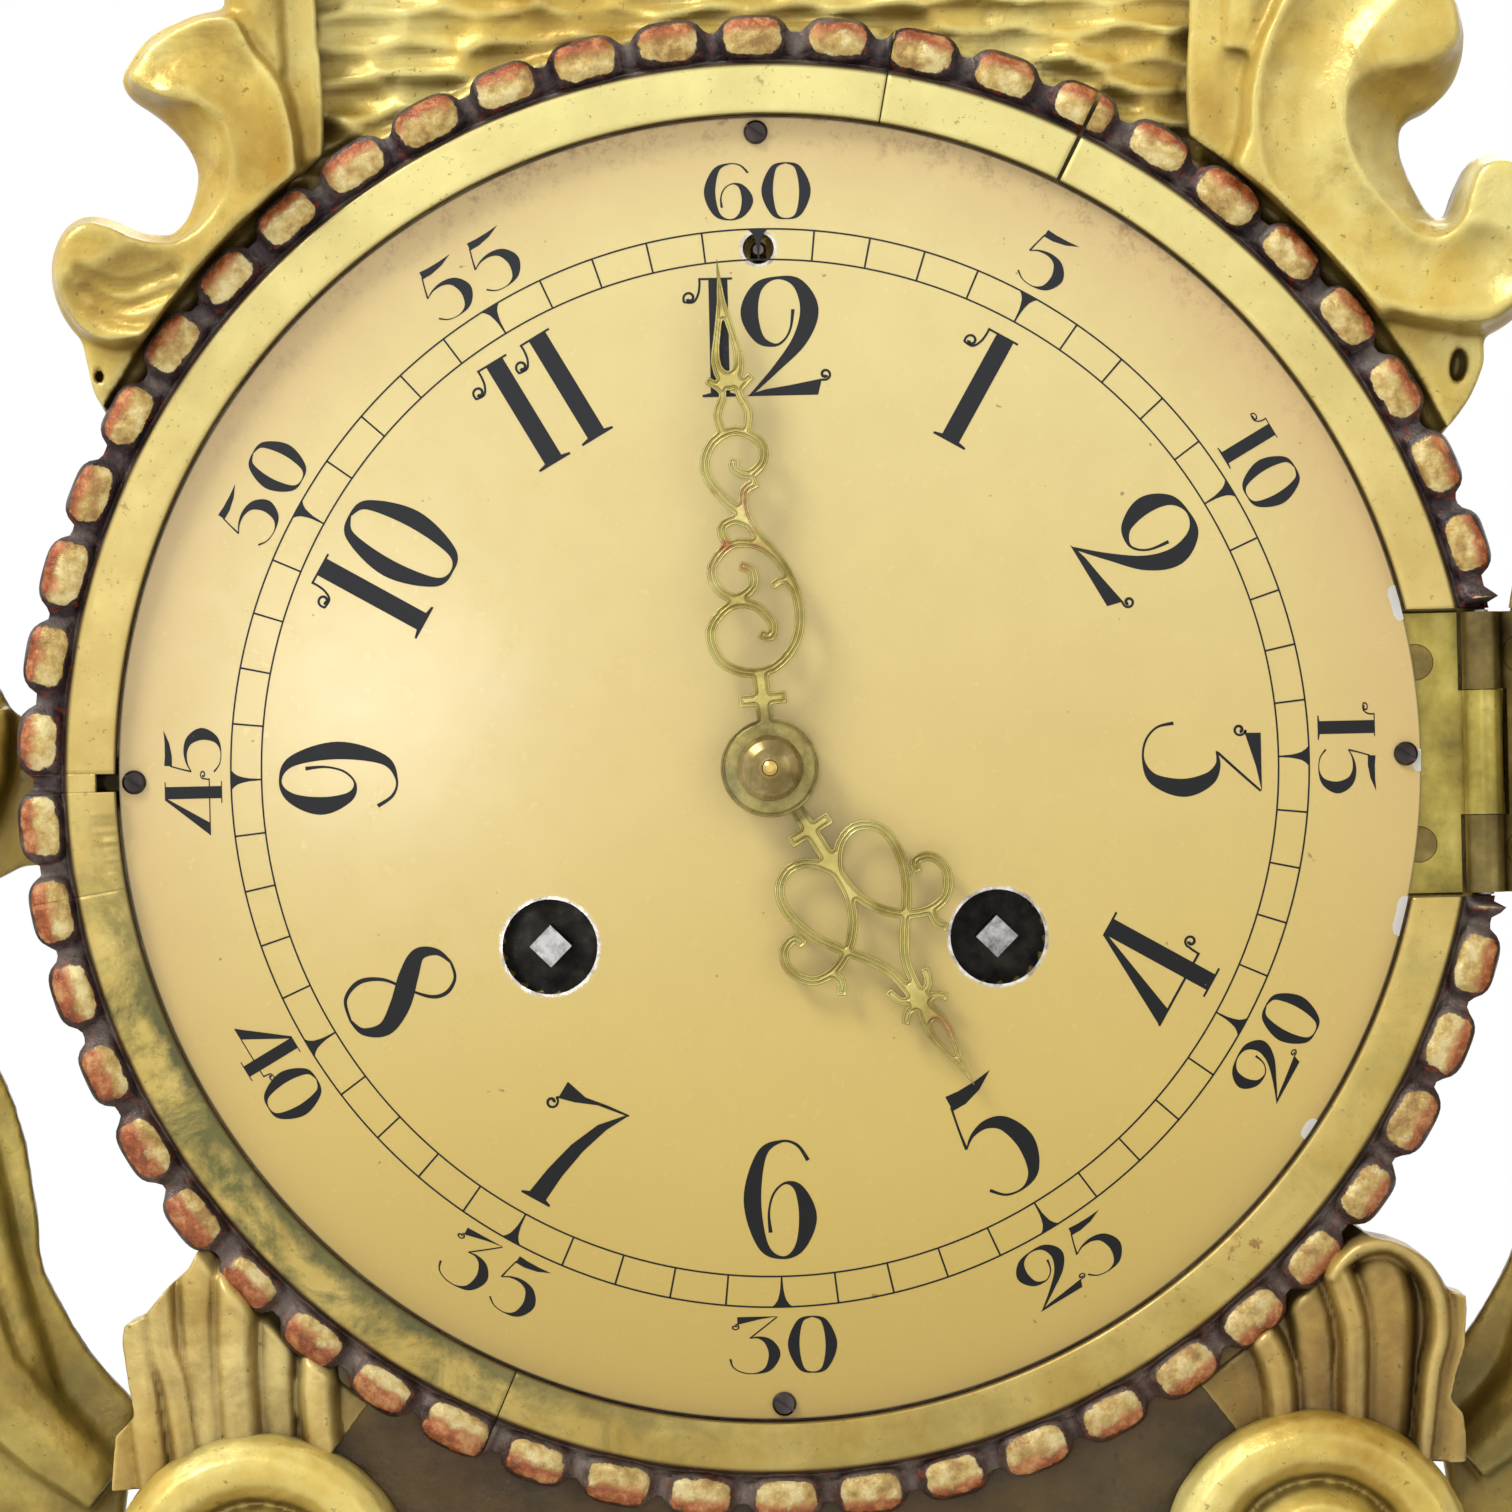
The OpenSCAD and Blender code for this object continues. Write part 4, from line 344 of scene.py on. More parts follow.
def bead_paint():
    """Gold and worn red bole on the crowns, painted shade in dark browns down the sides and in the groove."""
    p = Paint("gilt_beads", Metallic=0.2)
    x, y, z = p.axes()
    r = p.away(1)
    depth = p.times(y, -1000)
    wobble = p.wander(6.0, 300, 6, 0.7)
    gold = p.ramp(p.noise(260, 6, 0.65), (0.36, "#A88044"), (0.48, "#D6B66A"), (0.6, "#F4E0A0"))
    bole = p.ramp(p.noise(300, 6, 0.7), (0.36, "#743218"), (0.5, "#B25E30"), (0.64, "#DDA068"))
    outward = p.plus(p.minus(r, 113.0), wobble)
    corner = p.times(p.rise(p.times(x, -10), -0.3, 0.7),
                    p.rise(p.times(z, -10), -0.2, 0.5))
    outward = p.plus(outward, p.times(corner, 1.6))
    worn = p.rise(p.plus(p.times(outward, 0.4), 0.5), 0.3, 0.75)
    crown = p.mix(worn, gold, bole)
    # painted shade in dark browns down the beads' sides and in the groove, with specks of red bole and grey
    # dust over it
    side = p.ramp(p.noise(240, 6, 0.65), (0.35, "#1E1416"), (0.52, "#3E2B2C"), (0.68, "#6A5A54"))
    side = p.mix(p.rise(p.noise(520, 3, 0.6), 0.58, 0.66), side, "#7A2E1C")
    dusty = p.times(p.facing(-0.3, -0.75, 0.6), p.noise(120, 5, 0.6))
    side = p.mix(p.rise(dusty, 0.36, 0.58, 0.55), side, "#8A7F74")
    up = p.plus(p.minus(depth, 90.05), p.times(wobble, 0.26))
    paint = p.mix(p.rise(p.plus(up, 0.5), 0.44, 0.58), side, crown)
    low = p.fall(p.plus(p.times(z, 4.6), 0.5), 0.1, 0.55, 0.42)
    paint = p.mix(p.times(low, p.noise(90, 4)), paint, "#6A4B22")
    p.set(Base_Color=paint)
    p.set(Roughness=p.ramp(p.noise(300, 4), (0.4, 0.26), (0.65, 0.5)))
    p.bump((p.noise(330, 6, 0.7), 0.75, 0.0007), (p.noise(1500, 3), 0.2, 0.0001))
    return p.mat


def dial_paint():
    """Aged cream paint, paler at the top partly as painted light, speckled and chipped at the rim, with
    painted shadow at its edge, bare round its holes.
    """
    p = Paint("dial_cream")
    x, y, z = p.axes()
    # partly the paint's own tone and partly painted light: paler towards the top, darker towards the bottom
    height = p.plus(p.times(z, 5), 0.5)
    height = p.plus(height, p.wander(0.22, 9, 3))
    base = p.ramp(height, (0.0, "#C7AA4C"), (0.22, "#DEC164"), (0.55, "#EED486"), (0.98, "#FFEDA6"))
    base = p.mix(p.rise(p.noise(70, 6, 0.6), 0.2, 0.8, 0.26), base, "#CFB064")
    r = p.away(1)
    top = p.rise(height, 0.7, 0.92)
    outer = p.rise(p.times(p.minus(r, 90), 0.1), 0.35, 0.98)
    fine = p.rise(p.noise(420, 6, 0.75), 0.5, 0.66)
    grime = p.times(p.times(outer, top), fine)
    base = p.cover(base, "#6E4326", grime, 0.9)
    rim_share = p.rise(p.times(p.minus(r, 80), 0.05), 0.1, 1.0, 0.55)
    base = p.mix(p.times(rim_share, p.ramp(height, (0.15, 0.2), (0.8, 1.0))), base, "#DCB079")
    base = p.speckle(base, "#5E4A2A", 0.6, 0.74, 0.77, 300, 2, 0.9)
    stain = p.fall(p.away(10, *PALE_STAIN), 0.1, 0.9)
    base = p.mix(p.times(p.times(stain, p.noise(90, 4)), 0.18), base, "#FFF6DC")
    streak = p.fall(p.away(1000, *STREAK), 0.0, 0.02)
    base = p.cover(base, "#8A8A66", streak, 0.12)
    # painted shadow at the dial's edge, where it meets the band
    edge = p.rise(p.minus(r, 99), 0.7, 0.95)
    base = p.cover(base, "#4A3620", edge, 0.8)
    chipped = 0.0
    for x, z, reach in DIAL_CHIPS:
        close = p.fall(p.away(reach, x, z), 0.45, 1.0)
        chipped = p.math("MAXIMUM", chipped, close)
    near = p.rise(p.times(p.minus(r, 96), 0.25), 0.45, 0.8)
    ragged = p.plus(p.times(chipped, near), p.times(p.noise(260, 5, 0.7), 0.8))
    base = p.mix(p.rise(ragged, 0.92, 0.97), base, "#E9E6DE")
    bare = 0.0
    holes = ((KEY_X, KEY_Z, KEY_HOLE), (-KEY_X, KEY_Z, KEY_HOLE), (0, REGULATOR_Z, REGULATOR_HOLE))
    for x, z, hole in holes:
        ragged = p.plus(p.away(1, x, z), p.wander(1.1, 700, 4, 0.7))
        ring = p.fall(p.minus(ragged, hole), 0.3, 0.62)
        bare = p.math("MAXIMUM", bare, ring)
    base = p.mix(bare, base, p.ramp(p.noise(500, 4), (0.4, "#9C958A"), (0.62, "#E8E4DC")))
    wall = p.fall(p.plus(p.times(y, -1000), -86.0), 0.8, 0.96)
    base = p.mix(wall, base, "#6A6256")
    p.set(Base_Color=base, Metallic=p.times(p.math("MAXIMUM", bare, wall), 0.8))
    p.set(Roughness=p.ramp(p.noise(240, 4), (0.3, 0.2), (0.75, 0.3)))
    p.set(Coat_Weight=0.35, Coat_Roughness=0.12)
    p.bump((p.noise(26, 3), 0.1, 0.0006))
    return p.mat


def metal_paint(name, tones, rough=0.3, spots=0.5, grain=None, reach=0.003, metallic=0.85, zone=None):
    """Scratched, dirty metal with painted shade in its hollows; `tones` are its pale, middle and deep colour,
    then its spots'.
    """
    pale, mid, deep, spot = tones.split()
    p = Paint(name, Metallic=metallic)
    tone = p.ramp(p.noise(90, 6, 0.6), (0.32, deep), (0.52, mid), (0.72, pale))
    patch = p.rise(p.noise(210, 7, 0.7), 0.6 - 0.08 * spots, 0.76 - 0.08 * spots)
    tone = p.mix(p.times(patch, spots), tone, spot)
    # dirt and painted shade: a near-black laid where ambient occlusion finds hollows
    dirt_and_shade = p.fall(p.hollow(reach, 6), 0.1, 0.7, 0.8)
    tone = p.mix(dirt_and_shade, tone, p.mix(0.5, deep, "#16110A"))
    if zone:
        tone = zone(p, tone)
    p.set(Base_Color=tone)
    p.set(Roughness=p.ramp(p.noise(320, 4), (0.3, rough - 0.07), (0.75, rough + 0.14)))
    scratch = p.noise(260, 3, 0.5, stretch=grain)
    p.bump((scratch, 0.14, 0.0001), (p.noise(500, 4), 0.15, 0.0002))
    return p.mat


def dull_boss(p, tone):
    """Painted shade in dark brown on the faces that do not look forward, and brass that fingers have not
    rubbed: darker towards the middle of the dial.
    """
    flank_shade = p.fall(p.facing(0, -1, 0), 0.8, 0.985, 0.9)
    tone = p.mix(flank_shade, tone, "#4C3C18")
    boss = p.fall(p.away(10), 0.9, 1.3, 0.8)
    return p.mix(boss, tone, p.ramp(p.noise(300, 5, 0.7), (0.38, "#5C4F2A"), (0.62, "#9A8A4E")))


def copper_patches(p, tone):
    """The plating worn through to copper in the middle of the minute hand and at the hour hand's tip."""
    worn = p.noise(150, 5, 0.7)
    for x, z, reach in COPPER_SPOTS:
        close = p.fall(p.away(reach, x, z), 0.4, 1.0)
        share = p.times(close, p.rise(worn, 0.44, 0.56))
        tone = p.cover(tone, "#B5654A", share, 0.85)
    return dull_boss(p, tone)


def oily_arbor(p, tone):
    """Painted shade: near black round a winding arbor, with the square in its middle left bright."""
    front = p.rise(p.times(p.axes()[1], -10), 0.8, 0.815)
    bright = p.times(p.fall(p.away(10, KEY_X, KEY_Z, both=True), 0.33, 0.36), front)
    arbor_shade = p.ramp(p.noise(240, 5, 0.6), (0.35, "#141312"), (0.65, "#34302A"))
    return p.mix(bright, arbor_shade, p.ramp(p.noise(400, 5, 0.7), (0.36, "#6E6C6A"), (0.6, "#BEBCBA")))


HAND_BRASS = metal_paint("hand_brass", "#F0E69C #D2C272 #9C8A42 #B07C4C",
                         rough=0.32, spots=0.45, reach=0.0016, metallic=0.6, zone=copper_patches)
WINDING_STEEL = metal_paint("winding_steel", "#D2D2D0 #B0AFAC #7C7B7A #6A5E50", spots=0.3, zone=oily_arbor)
DARK_SCREW = metal_paint("dark_screw", "#6A605C #443C3A #262120 #8E8680", reach=0.001)
RUSTY_STEEL = metal_paint("rusty_steel", "#B09A92 #6E5A54 #2A2220 #7A4A3A", rough=0.35, spots=0.6)
SCREW_BRASS = metal_paint("screw_brass", "#B3A15E #857340 #4C3F20 #6A5E40", rough=0.35, reach=0.0012)
DARK_BRASS = metal_paint("dark_brass", "#A3915A #7F6E40 #4E4326 #5E5A44", rough=0.4)
NUT_BRASS = metal_paint("nut_brass", "#CDBB86 #8F7B48 #5C4A28 #D8C8A0", rough=0.26, spots=0.4, metallic=0.7)
OLD_BRASS = metal_paint("old_brass", "#D9C670 #B7A44E #857431 #6E6E40", rough=0.34, spots=0.55, metallic=0.6)
PLATE_BRASS = metal_paint("plate_brass", "#E8CB7C #D2B060 #A88842 #8A7A4A",
                          rough=0.27, grain=(0.12, 1, 3), spots=0.25)
WHEEL_BRASS = metal_paint("wheel_brass", "#F0D68A #D8B968 #B08E48 #8E7A48", rough=0.24, spots=0.2)
STEEL = metal_paint("bright_steel", "#D2D0CA #A9A8A4 #76757A #7A5E48", rough=0.26, spots=0.2)
BLUED = metal_paint("blued_steel", "#4A5468 #2C3342 #1B1E26 #5A4A3C", spots=0.3)
COVER = metal_paint("cover_brass", "#B79A58 #94793E #6A5428 #4E4A30",
                    rough=0.42, spots=0.3, grain=(3, 1, 0.15))


def wood_paint():
    """Dark stained wood with open pores and a little dust."""
    p = Paint("stained_wood")
    grain = p.noise(34, 8, 0.65, stretch=(6, 1.2, 0.7), distort=0.9)
    tone = p.ramp(grain, (0.3, "#24140A"), (0.5, "#4A2C17"), (0.72, "#6B4424"))
    pores = p.rise(p.noise(700, 3, 0.7, stretch=(4, 0.4, 0.25)), 0.58, 0.68)
    tone = p.cover(tone, "#180D07", pores, 0.6)
    dust = p.rise(p.noise(14, 5, 0.7), 0.55, 0.8, 0.35)
    tone = p.mix(dust, tone, "#8A7A66")
    p.set(Base_Color=tone, Roughness=p.ramp(p.noise(120, 4), (0.3, 0.38), (0.7, 0.62)))
    p.bump((grain, 0.35, 0.0004), (pores, 0.3, 0.0002))
    return p.mat


def ink_paint():
    """The figures' black, a little greyer towards the top and worn in specks."""
    p = Paint("figure_ink")
    height = p.plus(p.times(p.axes()[2], 5), 0.5)
    tone = p.ramp(height, (0.25, "#0B0B0B"), (0.95, "#2B2C30"))
    worn = p.rise(p.noise(900, 4, 0.8), 0.7, 0.76)
    p.set(Base_Color=p.mix(p.times(worn, 0.4), tone, "#A89868"))
    p.set(Roughness=0.32, Specular_IOR_Level=0.25)
    p.bump((p.noise(600, 3), 0.05, 0.00005))
    return p.mat


def glass_paint():
    """Clear glass, smeared here and there."""
    p = Paint("clear_glass", Transmission_Weight=1.0, IOR=1.46, Base_Color="#F4FBF8")
    p.set(Roughness=p.rise(p.noise(60, 5, 0.7), 0.5, 0.85, 0.035))
    p.bump((p.noise(14, 2), 0.05, 0.0004))
    return p.mat


BAND = ring_paint()
BEADS = bead_paint()
DIAL = dial_paint()
WOOD = wood_paint()
INK = ink_paint()
GLASS = glass_paint()


# the dial's figures
def cubic(a, b, c, d, t):
    """The smooth curve from b to c at t between 0 and 1, with a and d its neighbours."""
    bend = (2 * a - 5 * b + 4 * c - d) * t * t
    turn = (3 * b - a - 3 * c + d) * t ** 3
    return 0.5 * (2 * b + (c - a) * t + bend + turn)


def spline(points, steps):
    """A smooth curve of tuples through the given ones, in that many steps from each to the next."""
    out = []
    last = len(points) - 1
    for i in range(last):
        four = (points[max(i - 1, 0)], points[i], points[i + 1], points[min(i + 2, last)])
        for k in range(steps):
            out.append(tuple(cubic(*values, k / steps) for values in zip(*four)))
    out.append(tuple(points[-1]))
    return out


# the width of a hairline, as a share of a figure's height
HAIR = 0.019


def curl(x, y, r, start, turns):
    """A spiral from its outer end at (x, y), its middle at the bearing `start`; turns < 0 is clockwise."""
    a = math.radians(start)
    cx, cy = x + r * math.cos(a), y + r * math.sin(a)
    steps = 22
    out = []
    for i in range(steps + 1):
        t = i / steps
        b = a + math.pi + turns * 2 * math.pi * t
        q = r * (1 - 0.68 * t)
        out.append((cx + q * math.cos(b), cy + q * math.sin(b), HAIR * (1 + 0.6 * t * t)))
    return out


# each figure's width and its shapes, in units of its height: "c" is a smooth stroke of (x, y, width) points
# and "p" a polygon
FIGURES = {
    "1": (0.3, [
        ("p", [(0.07, 0.01), (0.23, 0.01), (0.23, 0.99), (0.07, 0.99)]),
        ("p", [(0.0, 0.0), (0.3, 0.0), (0.3, 0.018), (0.23, 0.035), (0.07, 0.035), (0.0, 0.018)]),
        ("p", [(-0.015, 0.982), (0.27, 0.982), (0.27, 1.0), (-0.015, 1.0)]),
        ("c", [(-0.005, 0.99, HAIR), (-0.006, 0.93, HAIR), (-0.02, 0.86, HAIR), (-0.06, 0.8, HAIR)]
              + curl(-0.105, 0.78, 0.056, 78, -1.15)[2:]),
    ]),
    "2": (0.66, [
        ("c", [(0.445, 0.722, 0.03), (0.42, 0.56, HAIR), (0.36, 0.46, HAIR), (0.275, 0.425, 0.03),
               (0.15, 0.49, 0.09), (0.078, 0.7, 0.148), (0.15, 0.91, 0.085), (0.315, 0.988, 0.024),
               (0.49, 0.935, 0.09), (0.582, 0.72, 0.155), (0.5, 0.47, 0.125), (0.3, 0.235, 0.062),
               (0.075, 0.01, 0.02)]),
        ("p", [(0.04, 0.0), (0.64, 0.0), (0.675, 0.135), (0.4, 0.085), (0.2, 0.055), (0.075, 0.02)]),
        ("c", [(0.665, 0.125, HAIR)] + curl(0.69, 0.125, 0.048, 75, 1.2)),
    ]),
    "3": (0.64, [
        ("p", [(0.115, 0.865), (0.24, 0.905), (0.4, 0.955), (0.615, 1.0), (0.117, 1.0)]),
        ("c", [(0.12, 0.872, HAIR)] + curl(0.095, 0.872, 0.052, 262, -1.2)),
        ("c", [(0.605, 0.99, 0.02), (0.44, 0.81, 0.022), (0.272, 0.632, 0.022)]),
        ("c", [(0.262, 0.625, 0.012), (0.38, 0.635, 0.045), (0.5, 0.55, 0.115), (0.565, 0.34, 0.152),
               (0.49, 0.1, 0.095), (0.335, 0.012, 0.024), (0.17, 0.03, HAIR), (0.055, 0.125, HAIR),
               (0.02, 0.27, 0.03)]),
    ]),
    "4": (0.66, [
        ("p", [(0.455, 0.01), (0.605, 0.01), (0.605, 0.99), (0.455, 0.99)]),
        ("p", [(0.395, 0.0), (0.665, 0.0), (0.665, 0.018), (0.395, 0.018)]),
        ("p", [(0.437, 0.982), (0.665, 0.982), (0.665, 1.0), (0.437, 1.0)]),
        ("p", [(0.0, 0.215), (0.158, 0.222), (0.465, 0.975), (0.465, 0.998), (0.44, 0.995)]),
        ("p", [(0.0, 0.21), (0.7, 0.21), (0.7, 0.23), (0.0, 0.23)]),
        ("c", [(0.69, 0.22, HAIR), (0.695, 0.29, HAIR)] + curl(0.7, 0.315, 0.052, 15, -1.2)),
    ]),
    "5": (0.6, [
        ("p", [(0.115, 0.865), (0.24, 0.862), (0.4, 0.905), (0.56, 1.0), (0.4, 0.985), (0.24, 0.985),
               (0.122, 1.0)]),
        ("c", [(0.118, 0.9, HAIR), (0.075, 0.7, HAIR), (0.045, 0.53, 0.026)]),
        ("c", [(0.044, 0.528, 0.012), (0.15, 0.605, 0.032), (0.3, 0.625, 0.075), (0.435, 0.545, 0.125),
               (0.505, 0.33, 0.155), (0.44, 0.1, 0.095), (0.3, 0.01, 0.024), (0.14, 0.03, HAIR),
               (0.035, 0.135, 0.028)]),
    ]),
    "6": (0.63, [
        ("c", [(0.56, 0.825, 0.034), (0.47, 0.955, 0.026), (0.335, 0.988, 0.024), (0.17, 0.88, 0.085),
               (0.085, 0.5, 0.148), (0.165, 0.12, 0.09), (0.33, 0.012, 0.024), (0.475, 0.1, 0.085),
               (0.548, 0.345, 0.15), (0.485, 0.575, 0.085), (0.375, 0.64, 0.024), (0.27, 0.56, HAIR),
               (0.222, 0.4, HAIR), (0.232, 0.225, 0.034)]),
    ]),
    "7": (0.66, [
        ("p", [(0.1, 0.84), (0.24, 0.875), (0.42, 0.945), (0.696, 0.985), (0.696, 1.0), (0.5, 0.985),
               (0.3, 0.955), (0.106, 1.0)]),
        ("c", [(0.105, 0.85, HAIR)] + curl(0.088, 0.838, 0.055, 250, -1.15)),
        ("p", [(0.696, 1.0), (0.66, 0.975), (0.5, 0.8), (0.385, 0.55), (0.31, 0.28), (0.262, 0.02),
               (0.42, 0.02), (0.445, 0.28), (0.5, 0.55), (0.585, 0.8)]),
        ("p", [(0.205, 0.0), (0.475, 0.0), (0.475, 0.018), (0.42, 0.04), (0.262, 0.04), (0.205, 0.018)]),
    ]),
    "8": (0.6, [
        ("c", [(0.3, 0.988, 0.022), (0.165, 0.93, 0.055), (0.105, 0.785, 0.115), (0.215, 0.625, 0.165),
               (0.385, 0.44, 0.17), (0.49, 0.235, 0.125), (0.42, 0.06, 0.06), (0.285, 0.012, 0.022)]),
        ("c", [(0.285, 0.012, 0.022), (0.11, 0.07, 0.03), (0.045, 0.245, 0.04), (0.135, 0.43, 0.028),
               (0.31, 0.56, 0.02), (0.465, 0.7, 0.03), (0.5, 0.83, 0.034), (0.43, 0.95, 0.026),
               (0.3, 0.988, 0.022)]),
    ]),
    "0": (0.62, [
        ("c", [(0.31, 0.988, 0.022), (0.16, 0.9, 0.08), (0.078, 0.5, 0.15), (0.16, 0.1, 0.08),
               (0.31, 0.012, 0.022), (0.46, 0.1, 0.08), (0.542, 0.5, 0.15), (0.46, 0.9, 0.08),
               (0.31, 0.988, 0.022)]),
    ]),
}


def turned_over(figure):
    """A figure turned by half a turn, as a 9 is from a 6."""
    width, shapes = figure
    return width, [(kind, [(width - q[0], 1 - q[1]) + tuple(q[2:]) for q in pts]) for kind, pts in shapes]


FIGURES["9"] = turned_over(FIGURES["6"])

# depth of the ink, just off the dial's front, and the step between strokes that may cross
INK_D, INK_STEP = 87.03, 0.0015
# the ones of 11 stand further apart, by this share of their height
PAIR_OF_ONES = 0.09


class Drawing:
    """Flat strokes of ink, each laid by place(u, v), which gives a point's x and z in millimetres."""

    def __init__(self):
        self.verts = []
        self.faces = []
        self.shapes = 0

    def lay(self, points, place):
        """Adds the points and returns the index of the first."""
        self.shapes += 1
        first = len(self.verts)
        for q in points:
            x, z = place(*q)
            self.verts.append(at(x, INK_D + INK_STEP * (self.shapes % 9), z))
        return first

    def strip(self, left, right, place):
        first = self.lay([q for pair in zip(left, right) for q in pair], place)
        for i in range(first, first + 2 * len(left) - 2, 2):
            self.faces.append((i, i + 1, i + 3, i + 2))

    def polygon(self, points, place):
        first = self.lay(points, place)
        self.faces.append(tuple(range(first, first + len(points))))

    def stroke(self, points, place, fine):
        """A stroke along a smooth curve of (x, y, width), its width times `fine`."""
        pts = spline(points, 8)
        left, right = [], []
        for i, (x, y, w) in enumerate(pts):
            a, b = pts[max(i - 1, 0)], pts[min(i + 1, len(pts) - 1)]
            dx, dy = b[0] - a[0], b[1] - a[1]
            size = math.hypot(dx, dy) or 1
            nx, ny = -dy / size * w / 2 * fine, dx / size * w / 2 * fine
            left.append((x + nx, y + ny))
            right.append((x - nx, y - ny))
        self.strip(left, right, place)

    def figure(self, name, place, fine):
        for kind, pts in FIGURES[name][1]:
            if kind == "p":
                self.polygon(pts, place)
            else:
                self.stroke(pts, place, fine)

    def number(self, text, r, angle, height, wide, gap, outward, fine=1.0):
        """A number whose middle lies at radius r, its top pointing outward or to the centre."""
        widths = [FIGURES[c][0] * wide for c in text]
        gaps = [gap + (PAIR_OF_ONES if a + b == "11" else 0) for a, b in zip(text, text[1:])] + [0]
        sin, cos = polar(1, angle if outward else angle + 180)
        cx, cz = polar(r, angle)
        start = -(sum(widths) + sum(gaps)) / 2
        for c, width, after in zip(text, widths, gaps):
            def place(u, v, start=start):
                across, up = (start + u * wide) * height, (v - 0.5) * height
                return cx + across * cos + up * sin, cz - across * sin + up * cos
            self.figure(c, place, fine)
            start += width + after


def in_place(x, z):
    return x, z


# hours and minutes: the radius of their middles, their height, their width against it and the gap between
HOURS = (66.3, 18.3, 1.0, 0.03)
MINUTES = (88.6, 8.8, 1.42, 0.12)
TRACK_IN, TRACK_OUT, TRACK_LINE = 78.1, 82.8, 0.26
# half the angle of a minute's line, and a five-minute mark as (distance in from the track, half width)
LINE_TURN = math.degrees(0.14 / 80.5)
SPEAR = [(0.0, 1.6), (0.5, 1.05), (1.1, 0.66), (1.9, 0.42), (2.8, 0.24), (4.0, 0.16)]


def minute_track(ink):
    """Two fine circles with a line between them at each minute, and a spear at every fifth."""
    for r in (TRACK_IN, TRACK_OUT):
        inner, outer = ([polar(r + side * TRACK_LINE / 2, a) for a in range(361)] for side in (-1, 1))
        ink.strip(inner, outer, in_place)
    for minute in range(60):
        a = 6 * minute
        low, high = a - LINE_TURN, a + LINE_TURN
        corners = ((TRACK_IN, low), (TRACK_OUT, low), (TRACK_OUT, high), (TRACK_IN, high))
        ink.polygon([polar(*corner) for corner in corners], in_place)
        if minute % 5 == 0:
            left, right = ([polar(TRACK_OUT - q, a + side * math.degrees(w / TRACK_OUT)) for q, w in SPEAR]
                           for side in (-1, 1))
            ink.strip(left, right, in_place)


ink = Drawing()
for hour in range(1, 13):
    radius, height, wide, gap = HOURS
    ink.number(str(hour), radius, 30 * hour, height, wide, gap, not 4 <= hour <= 8)
for minute in range(5, 61, 5):
    radius, height, wide, gap = MINUTES
    ink.number(str(minute), radius, 6 * minute, height, wide, gap, not 20 <= minute <= 40, fine=0.95)
minute_track(ink)
figures = new_mesh("dial_figures", ink.verts, ink.faces, INK, soft=False)
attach(figures, "case")


# the gold band and its beads
BEAD_COUNT, BEAD_R, BEAD_HALF = 54, 112.0, 5.7
BAND_IN, BAND_BACK, BAND_TOP = 100.45, 86.05, 89.96
# the beads' inner edge, crest and outer edge, the ground between them, and where they end at the hinge
BEAD_IN, BEAD_CREST, BEAD_OUT, BEAD_FLOOR, BEADS_END = 108.6, 112.1, 113.0, 87.65, 78
# how far a bead's tilt, height, length and place may stray
BEAD_STRAYS = ((-0.12, 0.12), (-0.28, 0.1), (-0.05, 0.05), (-0.18, 0.18))
# the slot that the door's catch enters, and the place beside it where the gilding has been cut away
SLOT_ANGLE, SLOT_HALF, SLOT_R = 270.0, 0.78, 103.4
CHIP_ANGLE, CHIP_HALF, CHIP_R, CHIP_FLOOR = 264.7, 2.6, 104.6, 89
# half the height that the hinge takes out of the ring, and the angle where the ring stops at mid-bead
HINGE_HALF = 22.1
HINGE_END = math.degrees(math.acos(HINGE_HALF / BEAD_R))
# three joints that shrinkage has opened, as (angle, half width) in degrees
SHRUNK = [(27.4, 0.17), (10.9, 0.06), (204.1, 0.05)]


def band_points(angle):
    """The flat band's part of the ring's section: (radius, depth) pairs from its inner edge's back."""
    wave = 0.1 * mnoise.noise(Vector((*polar(6, angle), 3)))
    out = [(BAND_IN, d) for d in (BAND_BACK, 88.0, 89.5)] + [(100.62, 89.82), (101.0, 89.93 + wave * 0.4)]
    for i in range(8):
        out.append((101.8 + i * 0.78, BAND_TOP + wave * (0.5 + 0.5 * math.sin(i * 1.1))))
    return out + [(107.7, 89.86), (107.98, 89.5), (108.1, 88.9), (108.3, 88.35)]


BAND_POINTS = len(band_points(0))


def bead_points(angle):
    """The beads' part: one cushion to a pitch, each a little different, with a saddle to the next."""
    pitch = 360 / BEAD_COUNT
    k = round(angle / pitch)
    jit = random.Random(k % BEAD_COUNT + 100)
    tilt, tall, wide, shift = (jit.uniform(*stray) for stray in BEAD_STRAYS)
    u = (angle - k * pitch) * math.pi / 180 * BEAD_R / BEAD_HALF * (1 + wide) + shift * 0.08
    there = 0.0 if BEADS_END <= angle % 360 <= 180 - BEADS_END else 1.0
    outer = BEAD_OUT + 2.55 * max(0.0, 1 - abs(u) ** 4) * there
    steps = 26
    out = []
    for i in range(steps + 1):
        r = BEAD_IN + (outer - BEAD_IN) * i / steps
        v = (r - BEAD_CREST) / 3.6 * (1 + wide)
        s = (abs(u) ** 3.6 + abs(v) ** 3.2) ** (1 / 3.4)
        lump = 0.34 * mnoise.noise(Vector((r * 0.55, angle * 1.1, k * 3.7)))
        body = math.sqrt(max(0.0, 1 - s ** 3.2)) * (3.42 + tall + tilt * u + lump)
        saddle = 0.855 * max(0.0, 1 - (v / 1.05) ** 2)
        out.append((r, min(BEAD_FLOOR + there * max(body, saddle), 91.28)))
    return out + [(outer, 87.2), (outer - 0.1, BAND_BACK)]


